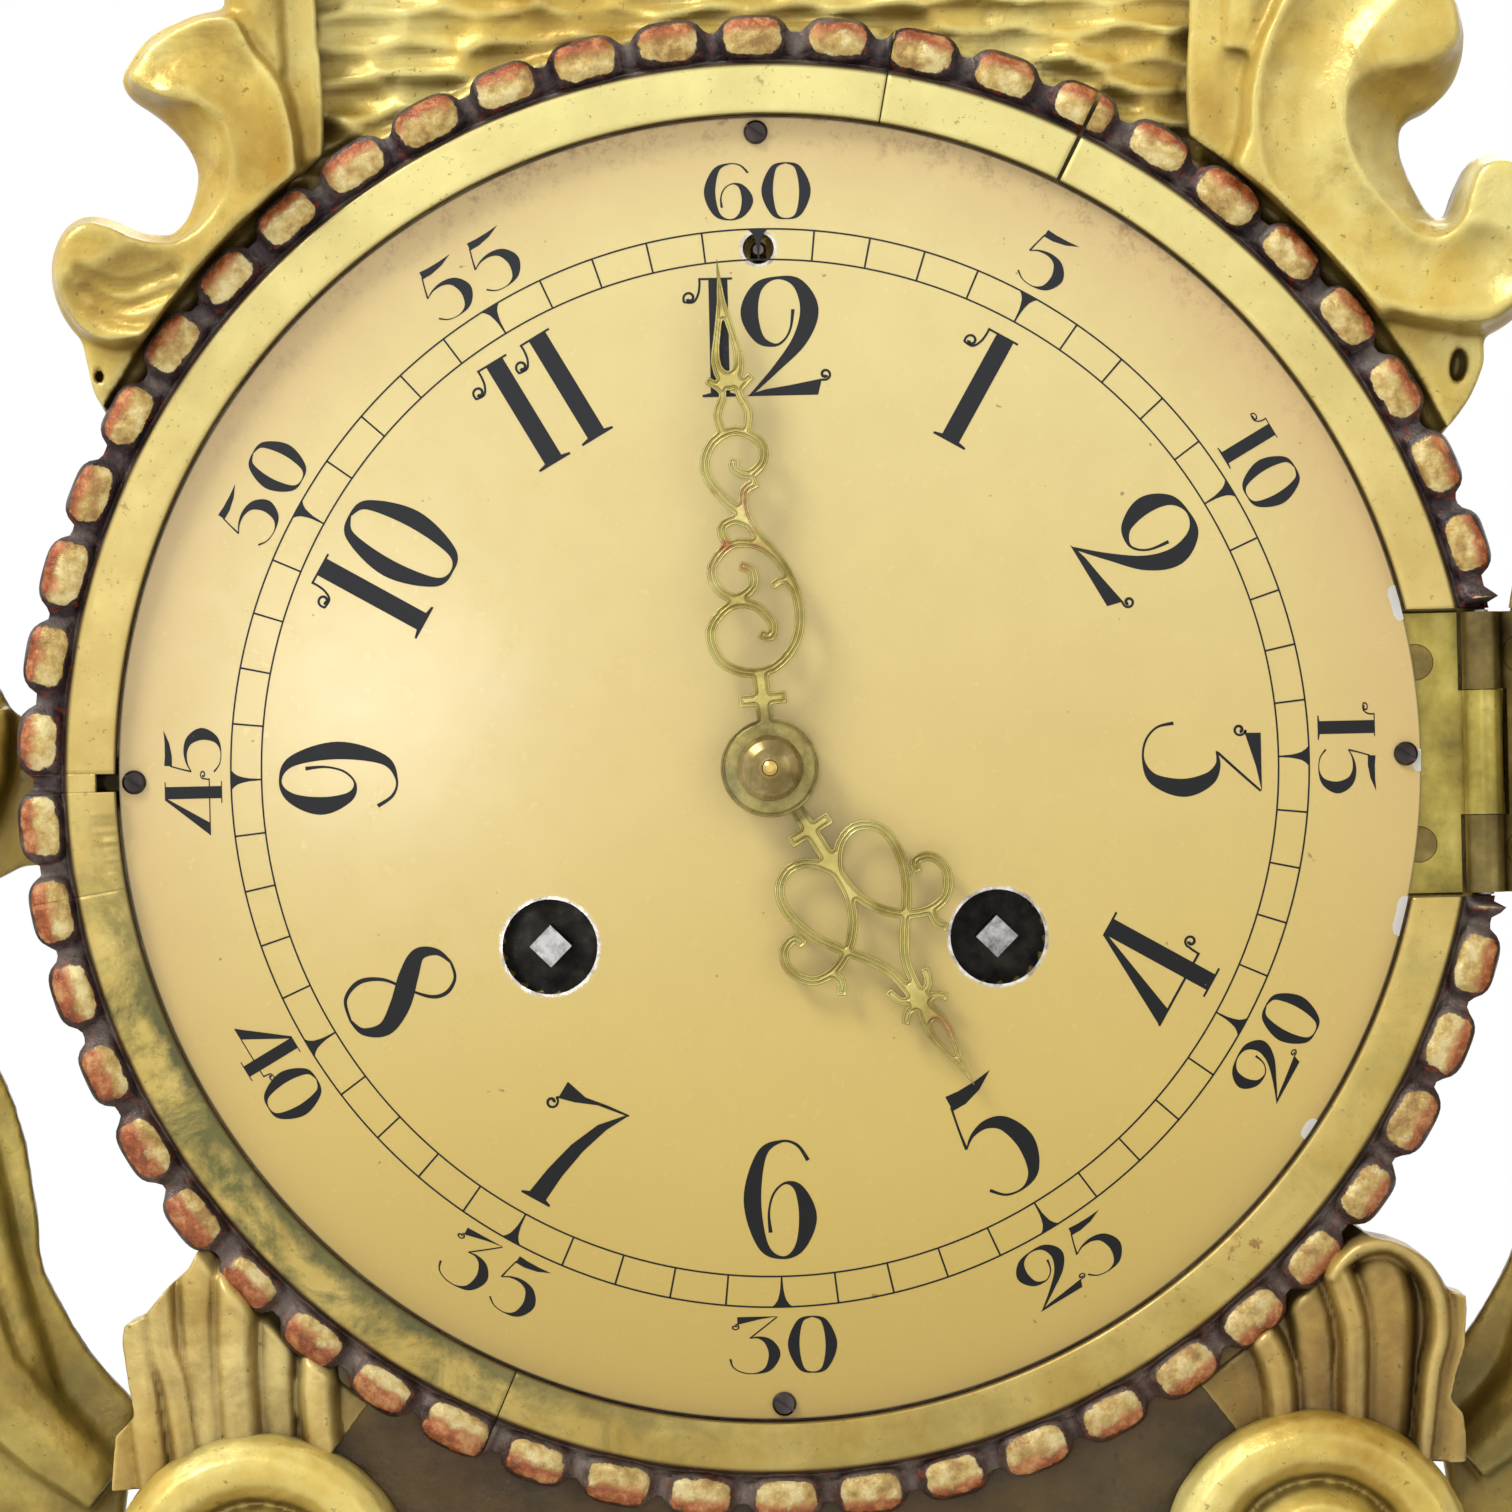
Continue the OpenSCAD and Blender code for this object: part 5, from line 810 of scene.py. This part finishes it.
def ring_section(angle):
    """The whole ring's section, with the catch's slot and the chip beside it cut into the band."""
    out = band_points(angle) + bead_points(angle)
    if abs(angle - SLOT_ANGLE) <= SLOT_HALF:
        out = [(max(r, SLOT_R), d) for r, d in out]
    chip = max(0.0, 1 - ((angle - CHIP_ANGLE) / CHIP_HALF) ** 4)
    bite = chip * (0.9 + 0.5 * mnoise.noise(Vector((angle * 2.2, 0.4, 9.1))))
    return [(r, d - bite * smooth(CHIP_R, CHIP_R - 1.6, r) if d > CHIP_FLOOR else d) for r, d in out]


def beside_hinge(r, angle):
    """The angle, turned a little near the hinge so that the ring's two ends lie level."""
    below = angle if angle < 90 else 180 - angle
    near = max(0.0, 1 - abs(below - HINGE_END) / 3)
    shift = (math.degrees(math.acos(HINGE_HALF / r)) - HINGE_END) * near
    return angle + (shift if angle < 90 else -shift)


def ring_arc(start, end, step):
    """Points, faces and points per section of the ring between two angles, closed at both ends."""
    n = max(4, round((end - start) / step))
    points = []
    for i in range(n + 1):
        a = start + (end - start) * i / n
        for r, d in ring_section(a):
            x, z = polar(r, beside_hinge(r, a))
            points.append(at(x, d, z))
    size = len(points) // (n + 1)
    quads = []
    for i in range(n):
        for j in range(size):
            k = (j + 1) % size
            quads.append((i * size + j, i * size + k, (i + 1) * size + k, (i + 1) * size + j))
    return points, quads + [tuple(range(size - 1, -1, -1)), tuple(range(n * size, (n + 1) * size))], size


def beaded_ring():
    """The ring in arcs, parted at the hinge, the shrunk joints and the ends of the slot and the chip."""
    cuts = [SLOT_ANGLE - SLOT_HALF, SLOT_ANGLE + SLOT_HALF, CHIP_ANGLE - 4]
    parted = [(HINGE_END, 180 - HINGE_END)] + [(a - h, a + h) for a, h in SHRUNK] + [(a, a) for a in cuts]
    parted.sort()
    points, faces, mats = [], [], []
    for i, (_, start) in enumerate(parted):
        end = parted[i + 1][0] if i + 1 < len(parted) else parted[0][0] + 360
        near = abs((start + end) / 2 - SLOT_ANGLE) < 6
        arc, around, size = ring_arc(start + 1e-4, end - 1e-4, 0.14 if near else 0.42)
        faces += [tuple(len(points) + q for q in f) for f in around]
        mats += [0 if len(f) == 4 and f[0] % size < BAND_POINTS - 1 else 1 for f in around]
        points += arc
    ring = new_mesh("beaded_band", points, faces, BAND)
    ring.data.materials.append(BEADS)
    for p, m in zip(ring.data.polygons, mats):
        p.material_index = m
        if len(p.vertices) > 4:
            p.use_smooth = False
    return ring


band = beaded_ring()
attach(band, "case")
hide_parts("bead_ring")


# carved pieces
def prism(points, back, front):
    """A closed block from an outline of (x, z) points in millimetres, between two depths."""
    area = sum(a[0] * b[1] - b[0] * a[1] for a, b in zip(points, points[1:] + points[:1]))
    ring = points if area > 0 else points[::-1]
    n = len(ring)
    block = [at(x, d, z) for d in (back, front) for x, z in ring]
    sides = [((i + 1) % n, i, n + i, n + (i + 1) % n) for i in range(n)]
    return block, sides + [tuple(range(n)), tuple(reversed(range(n, 2 * n)))]


def beside(path, x, z):
    """The distance from a point to a path of (x, z) points."""
    best = 1e9
    for (ax, az), (bx, bz) in zip(path, path[1:]):
        ux, uz = bx - ax, bz - az
        t = min(1.0, max(0.0, ((x - ax) * ux + (z - az) * uz) / (ux * ux + uz * uz)))
        best = min(best, math.hypot(x - ax - t * ux, z - az - t * uz))
    return best


def curve(points):
    """A smooth path through (x, z) points."""
    return spline(points, 5)


CLOUDS = bpy.data.textures.new("tool_marks", "CLOUDS")
CLOUDS.noise_scale = 0.006
CLOUDS.noise_depth = 3


def soften(o, rounds):
    m = o.modifiers.new("soften", "SMOOTH")
    m.factor = 0.5
    m.iterations = rounds


def dense_copy(o):
    """Bakes an object's modifiers into its own mesh, so that its points can be carved one by one."""
    me = bpy.data.meshes.new_from_object(o.evaluated_get(bpy.context.evaluated_depsgraph_get()))
    o.modifiers.clear()
    o.data = me
    return me


def carved(name, node, mat, body="case", voxel=0.7, rounds=6, uneven=0.5, block=None,
           cut=None):
    """A softened piece from a CAD solid or a block; cut(x, d, z) gives each of its points a new depth."""
    if block:
        me = bpy.data.meshes.new(name)
        me.from_pydata(block[0], [], block[1])
        me.update()
    else:
        me = NODES[node].data.copy()
        me.materials.clear()
    me.name = name
    me.materials.append(mat)
    o = new_object(name, me)
    m = o.modifiers.new("sculpt", "REMESH")
    m.mode = "VOXEL"
    m.voxel_size = voxel * MM * 1.0
    m.use_smooth_shade = True
    soften(o, rounds)
    if cut:
        for v in dense_copy(o).vertices:
            v.co.y = -cut(v.co.x / MM, -v.co.y / MM, v.co.z / MM) * MM
        soften(o, 2)
    if uneven:
        d = o.modifiers.new("marks", "DISPLACE")
        d.texture = CLOUDS
        d.texture_coords = "LOCAL"
        d.strength = uneven * MM
        d.mid_level = 0.78
    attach(o, body)
    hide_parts(node)
    return o


def chase(o, first, last, deep):
    """Cuts a groove into the front of a thin piece, between two distances from its edge, in millimetres."""
    me = dense_copy(o)
    normals = [v.normal.copy() for v in me.vertices]
    rim = [v.index for v in me.vertices if abs(normals[v.index].y) < 0.6]
    tree = KDTree(len(rim))
    for i in rim:
        co = me.vertices[i].co
        tree.insert((co.x, 0, co.z), i)
    tree.balance()
    middle, half = (first + last) / 2, (last - first) / 2
    for v in me.vertices:
        if normals[v.index].y < -0.85:
            away = tree.find((v.co.x, 0, v.co.z))[2] / MM
            v.co.y += deep * MM * max(0.0, 1 - ((away - middle) / half) ** 2)


# the board over the ring: rows of short gouge cuts that meet in wavy ridges, from BOARD_LOW up
ROW, STEP, GOUGE_DEEP = 5.0, 13.5, 3.0
BOARD_FACE, BOARD_LOW, PANEL_HALF, PANEL_R = 84, 60, 76, 114.6
# the pocket behind the ring that the door's catch enters, as x from, x to, half height and depth
CATCH_POCKET = (-106.5, -96.5, 2.8, 76.0)


def gouge(row, k):
    """A cut's middle, half length, half width and slope."""
    jit = random.Random(row * 101 + k * 7 + 5)
    x = (k + 0.5 * (row % 2)) * STEP + jit.uniform(-3.0, 3.0)
    z = row * ROW + jit.uniform(-0.8, 0.8)
    return x, z, jit.uniform(8.0, 11.5), jit.uniform(2.9, 3.7), jit.uniform(-0.12, 0.12)


GOUGES = {(row, k): gouge(row, k) for row in range(12, 38) for k in range(-7, 8)}


def board_cut(x, d, z):
    x_from, x_to, half, floor = CATCH_POCKET
    if abs(z) < half and x_from < x < x_to and d > floor:
        return floor
    if d < BOARD_FACE or z < BOARD_LOW or abs(x) > PANEL_HALF or math.hypot(x, z) < PANEL_R:
        return d
    row, k = round(z / ROW), round(x / STEP)
    deep = 0.0
    for near in ((i, j) for i in (row - 1, row, row + 1) for j in (k - 1, k, k + 1)):
        if near in GOUGES:
            gx, gz, long_, wide, tilt = GOUGES[near]
            u, v = (x - gx) / long_, (z - gz - tilt * (x - gx)) / wide
            deep = max(deep, 1 - u * u - v * v)
    return d - GOUGE_DEEP * deep ** 0.8 * smooth(BOARD_FACE, BOARD_FACE + 1.6, d)


# the shells under the ring: depths of their blocks and of the ground between the ribs, and the ribs as
# (path, half width, crest's depth), the left ones mirrored
BLOCK_BACK, BLOCK_FRONT, SHELL_FLOOR = 76.0, 92.0, 86.4
RIGHT_SHELL = [
    (curve([(84.4, -79.6), (86.4, -76.9), (89.6, -75.3), (93.2, -75.2), (96.6, -77.0), (99.2, -80.2),
            (100.6, -84.4), (100.6, -89.4), (99.2, -95.0), (97.4, -108.6)]), 1.7, 92.4),
    (curve([(92.0, -80.0), (92.8, -84.0), (92.6, -92.0), (91.2, -108.0)]), 4.2, 90.0),
    (curve([(84.0, -76.5), (86.6, -83.6), (87.6, -90.2), (86.8, -108.3)]), 2.5, 92.2),
    (curve([(79.0, -80.5), (81.6, -88.6), (82.0, -108.7)]), 3.4, 88.8),
    (curve([(72.2, -86.9), (75.8, -94.0), (76.6, -108.6)]), 2.6, 91.2),
    ([(105.2, -80.0), (104.6, -91.1), (102.6, -97.1), (101.0, -108.7)], 3.4, 89.6),
]
LEFT_SHELL = [
    ([(99.4, -80.4), (98.4, -91.1), (96.3, -108.3)], 3.0, 90.2),
    (curve([(95.6, -76.9), (94.6, -87.1), (92.8, -93.2), (91.0, -108.4)]), 2.7, 92.0),
    (curve([(88.6, -70.4), (89.8, -82.2), (88.0, -108.5)]), 3.4, 90.8),
    (curve([(83.4, -73.7), (84.0, -88.4), (83.0, -108.6)]), 3.4, 92.3),
    (curve([(76.8, -79.9), (78.2, -91.5), (77.4, -108.2)]), 3.2, 88.8),
    (curve([(70.6, -85.7), (71.6, -95.3), (70.2, -108.9)]), 3.0, 91.4),
]


def shell_cut(ribs):
    """Rounded ribs with a fine groove along each, sinking to the ring's edge."""
    def cut(x, d, z):
        if d < BLOCK_BACK + 2:
            return d
        top = SHELL_FLOOR
        for path, half, peak in ribs:
            q = beside(path, abs(x), z) / half
            if q < 1.25:
                crown = (peak - SHELL_FLOOR) * math.sqrt(max(0.0, 1 - (q / 1.06) ** 2.6))
                top = max(top, SHELL_FLOOR - 1.2 * smooth(0.95, 1.25, q) + crown)
        top -= 2.4 * (1 - smooth(113.4, 115.6, math.hypot(x, z)))
        share = (d - BLOCK_BACK) / (BLOCK_FRONT - BLOCK_BACK)
        return BLOCK_BACK + (top - BLOCK_BACK) * share
    return cut


def shell_block(edge, sign):
    """A block between an outer edge and the ring, on the right (1) or the left (-1)."""
    under = [polar(113.2, a) for a in (146.5, 142, 137, 132)]
    ring = list(edge) + [(72, -107)] + under
    return prism([(sign * x, z) for x, z in ring], BLOCK_BACK, BLOCK_FRONT)


RIGHT_EDGE = [(87.6, -71.7), (90.4, -73.7), (93.5, -74.3), (96.6, -75.6), (99.6, -77.9), (101.4, -80.7),
              (102.1, -82.2), (104.9, -83.2), (105.0, -85.5), (104.5, -91.1), (103.1, -95.1),
              (102.2, -99.0), (104.2, -101.4), (104.8, -109)]
LEFT_EDGE = [(88.6, -70.5), (90.9, -74.6), (94.2, -77.5), (97.1, -80.9), (98.2, -82.0), (101.0, -83.2),
             (101.4, -85.9), (100.2, -94.2), (99.8, -97.2), (103.0, -100.4), (103.8, -109)]

# the scrolls beside the board: a dished face, and three flutes across the lower lobe of the left one
LEFT_DISH = curve([(97.0, 109.5), (89.0, 112.0), (82.0, 110.5), (77.4, 104.0), (75.4, 97.0), (76.4, 91.5),
                   (81.4, 85.4), (88.0, 79.5), (96.0, 74.5), (102.0, 72.0)])
RIGHT_DISH = curve([(96.0, 122.0), (90.0, 116.0), (85.0, 108.0), (82.6, 98.0), (85.0, 88.0), (91.0, 79.5),
                    (100.0, 74.5), (110.0, 74.0)])
FLUTES = [curve(q) for q in ([(103.6, 78.4), (97.4, 75.7), (89.4, 77.9)],
                             [(102.6, 75.6), (96.7, 72.6), (89.1, 75.2)],
                             [(101.2, 72.2), (96.0, 70.0), (90.3, 70.9)])]
DISH_HALF, DISH_DEEP, FLUTE_HALF, FLUTE_DEEP = 6.6, 2.6, 1.15, 0.9


def hollow_cut(path, x, z, half, deep):
    """How deep a round-bottomed hollow along a path on the right, or its mirror image, is at a point."""
    q = beside(path, abs(x), z) / half
    return deep * (1 - q * q) if q < 1 else 0.0


def scroll_cut(dish, flutes):
    def cut(x, d, z):
        if d < 86:
            return d
        less = hollow_cut(dish, x, z, DISH_HALF, DISH_DEEP)
        for path in flutes:
            less += hollow_cut(path, x, z, FLUTE_HALF, FLUTE_DEEP)
        return d - less * smooth(88, 92, d)
    return cut


carved("gouged_board", "front_board", GILT_BOARD, voxel=0.9, rounds=3, uneven=0.3, cut=board_cut)
carved("scroll_left", "left_scroll", GILT, rounds=10, cut=scroll_cut(LEFT_DISH, FLUTES))
carved("scroll_right", "right_scroll", GILT, rounds=10, cut=scroll_cut(RIGHT_DISH, []))
for side in ("left", "right"):
    carved("leaf_" + side, side + "_side_leaf", GILT_LEAF)
for side, sign, edge, ribs in (("left", -1, LEFT_EDGE, LEFT_SHELL), ("right", 1, RIGHT_EDGE, RIGHT_SHELL)):
    carved("shell_" + side, side + "_shell_fan", GILT_SHELL, voxel=0.4, rounds=3, uneven=0.3,
           block=shell_block(edge, sign), cut=shell_cut(ribs))
for side in ("left", "right"):
    carved("volute_" + side, side + "_volute", GILT, voxel=0.6, rounds=8)
carved("shell_crest", "crest", GILT, voxel=0.8)
carved("leaf_pendant", "bottom_pendant", GILT, voxel=0.8)

# the hands: cast, with a line chased inside every edge
for name, node, body in (("chased_minute_hand", "minute_hand", "minute_arbor"),
                         ("chased_hour_hand", "hour_hand", "hour_pipe")):
    hand = carved(name, node, HAND_BRASS, body, voxel=0.13, rounds=3, uneven=0)
    chase(hand, 0.22, 0.62, 0.28)
carved("turned_nut", "hand_nut", NUT_BRASS, "minute_arbor", voxel=0.12, rounds=3, uneven=0)

# CAD solids kept as they are
KEPT = {
    WOOD: "case_drum gong_block",
    GILT_DOOR: "door_frame",
    DIAL: "dial",
    BLUED: "case_screws gong",
    DARK_SCREW: "dial_screws",
    RUSTY_STEEL: "regulator_arbor",
    OLD_BRASS: "hinge_case_leaf door_catch glass_retainer",
    SCREW_BRASS: "hinge_case_screws hinge_door_screws",
    DARK_BRASS: "hinge_door_leaf",
    WINDING_STEEL: "going_winding_arbor striking_winding_arbor",
    COVER: "back_cover",
    PLATE_BRASS: "front_plate back_plate pillars fixing_straps going_barrel striking_barrel "
                 "suspension_cock hammer",
    WHEEL_BRASS: "centre_wheel minute_wheel hour_wheel intermediate_wheel third_wheel escape_wheel "
                 "pin_wheel locking_wheel fly pendulum_bob",
    STEEL: "hanging_plate hinge_pin pillar_nuts cannon_pinion going_click striking_click "
           "pallet_anchor suspension_spring pendulum_rod",
    GLASS: "door_glass",
}
for mat, names in KEPT.items():
    for n in names.split():
        slots = NODES[n].data.materials
        slots.clear()
        slots.append(mat)

# floor, light and camera
FLOOR_HALF, FLOOR_DROP, FLOOR_GLOW = 1.35, 0.06, 0.65
LIGHT, WHITE = 0.47, 1.0


def pale_floor(z):
    """A pale floor that keeps the shadow and that the camera sees a good part of the way to white."""
    paint = Paint("pale_floor", Roughness=0.7)
    paint.set(Base_Color=paint.ramp(paint.noise(3, 3), (0.3, "#F0F0EF"), (0.7, "#F5F5F4")))
    glow = paint.nodes.new("ShaderNodeEmission")
    glow.inputs["Color"].default_value = (1, 1, 1, 1)
    seen = paint.nodes.new("ShaderNodeLightPath").outputs["Is Camera Ray"]
    both = paint.nodes.new("ShaderNodeMixShader")
    paint.links.new(paint.times(seen, FLOOR_GLOW), both.inputs[0])
    paint.links.new(paint.bsdf.outputs[0], both.inputs[1])
    paint.links.new(glow.outputs[0], both.inputs[2])
    paint.links.new(both.outputs[0], paint.nodes["Material Output"].inputs["Surface"])
    h = FLOOR_HALF
    corners = [(-h, -h, z), (h, -h, z), (h, h, z), (-h, h, z)]
    return new_mesh("floor", corners, [(0, 1, 2, 3)], paint.mat, soft=False)


def studio():
    """A plain light level for the object, and pure white for the camera, in mirrors and through glass."""
    world = bpy.data.worlds.new("studio")
    world.use_nodes = True
    nodes, links = world.node_tree.nodes, world.node_tree.links
    rays = nodes.new("ShaderNodeLightPath")
    white_for = rays.outputs["Is Camera Ray"]
    for kind in ("Is Glossy Ray", "Is Transmission Ray"):
        either = nodes.new("ShaderNodeMath")
        either.operation = "MAXIMUM"
        links.new(white_for, either.inputs[0])
        links.new(rays.outputs[kind], either.inputs[1])
        white_for = either.outputs[0]
    both = nodes.new("ShaderNodeMixShader")
    links.new(white_for, both.inputs[0])
    backgrounds = (nodes["Background"], LIGHT), (nodes.new("ShaderNodeBackground"), WHITE)
    for i, (background, strength) in enumerate(backgrounds):
        background.inputs["Color"].default_value = (1, 1, 1, 1)
        background.inputs["Strength"].default_value = strength
        links.new(background.outputs[0], both.inputs[i + 1])
    links.new(both.outputs[0], nodes["World Output"].inputs["Surface"])
    return world


def lamp(name, place, aim, power, width):
    data = bpy.data.lights.new(name, "AREA")
    data.energy = power
    data.size = width
    o = new_object(name, data)
    o.location = place
    o.rotation_euler = (Vector(aim) - Vector(place)).to_track_quat("-Z", "Y").to_euler()


floor = pale_floor(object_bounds()[0].z - FLOOR_DROP)
bpy.context.scene.world = studio()
lamp("key", (-1.0, -0.9, 1.4), (0, -0.05, 0), 20.0, 0.6)
lamp("fill", (1.2, -1.3, 0.3), (0, -0.05, 0), 2.5, 1.0)
lamp("window", (-0.122, -1.187, 0.022), (-0.061, -0.087, 0.011), 0.3, 0.06)
lamp("back_fill", (0.5, 1.6, 1.0), (0, 0, 0), 10.0, 1.2)

# the photograph's width and middle at the dial's front, its turn in degrees, and the camera's distance
VIEW_W, VIEW_X, VIEW_Y, VIEW_Z, ROLL, DISTANCE = 232.2, -2.11, -87.0, 1.89, 1.3, 1100.0
SENSOR_W = 36.0
cam_data = bpy.data.cameras.new("camera")
cam_data.sensor_width = SENSOR_W
cam_data.lens = SENSOR_W * DISTANCE / VIEW_W
camera = new_object("camera", cam_data)
bpy.context.scene.camera = camera
up = Vector((math.sin(math.radians(ROLL)), 0, math.cos(math.radians(ROLL))))
back = Vector((0, -1, 0))
across = up.cross(back)
place = Vector((VIEW_X, VIEW_Y - DISTANCE, VIEW_Z)) * MM
camera.matrix_world = Matrix([(across[i], up[i], back[i], place[i]) for i in range(3)] + [(0, 0, 0, 1)])

bpy.context.scene.view_settings.view_transform = "Standard"
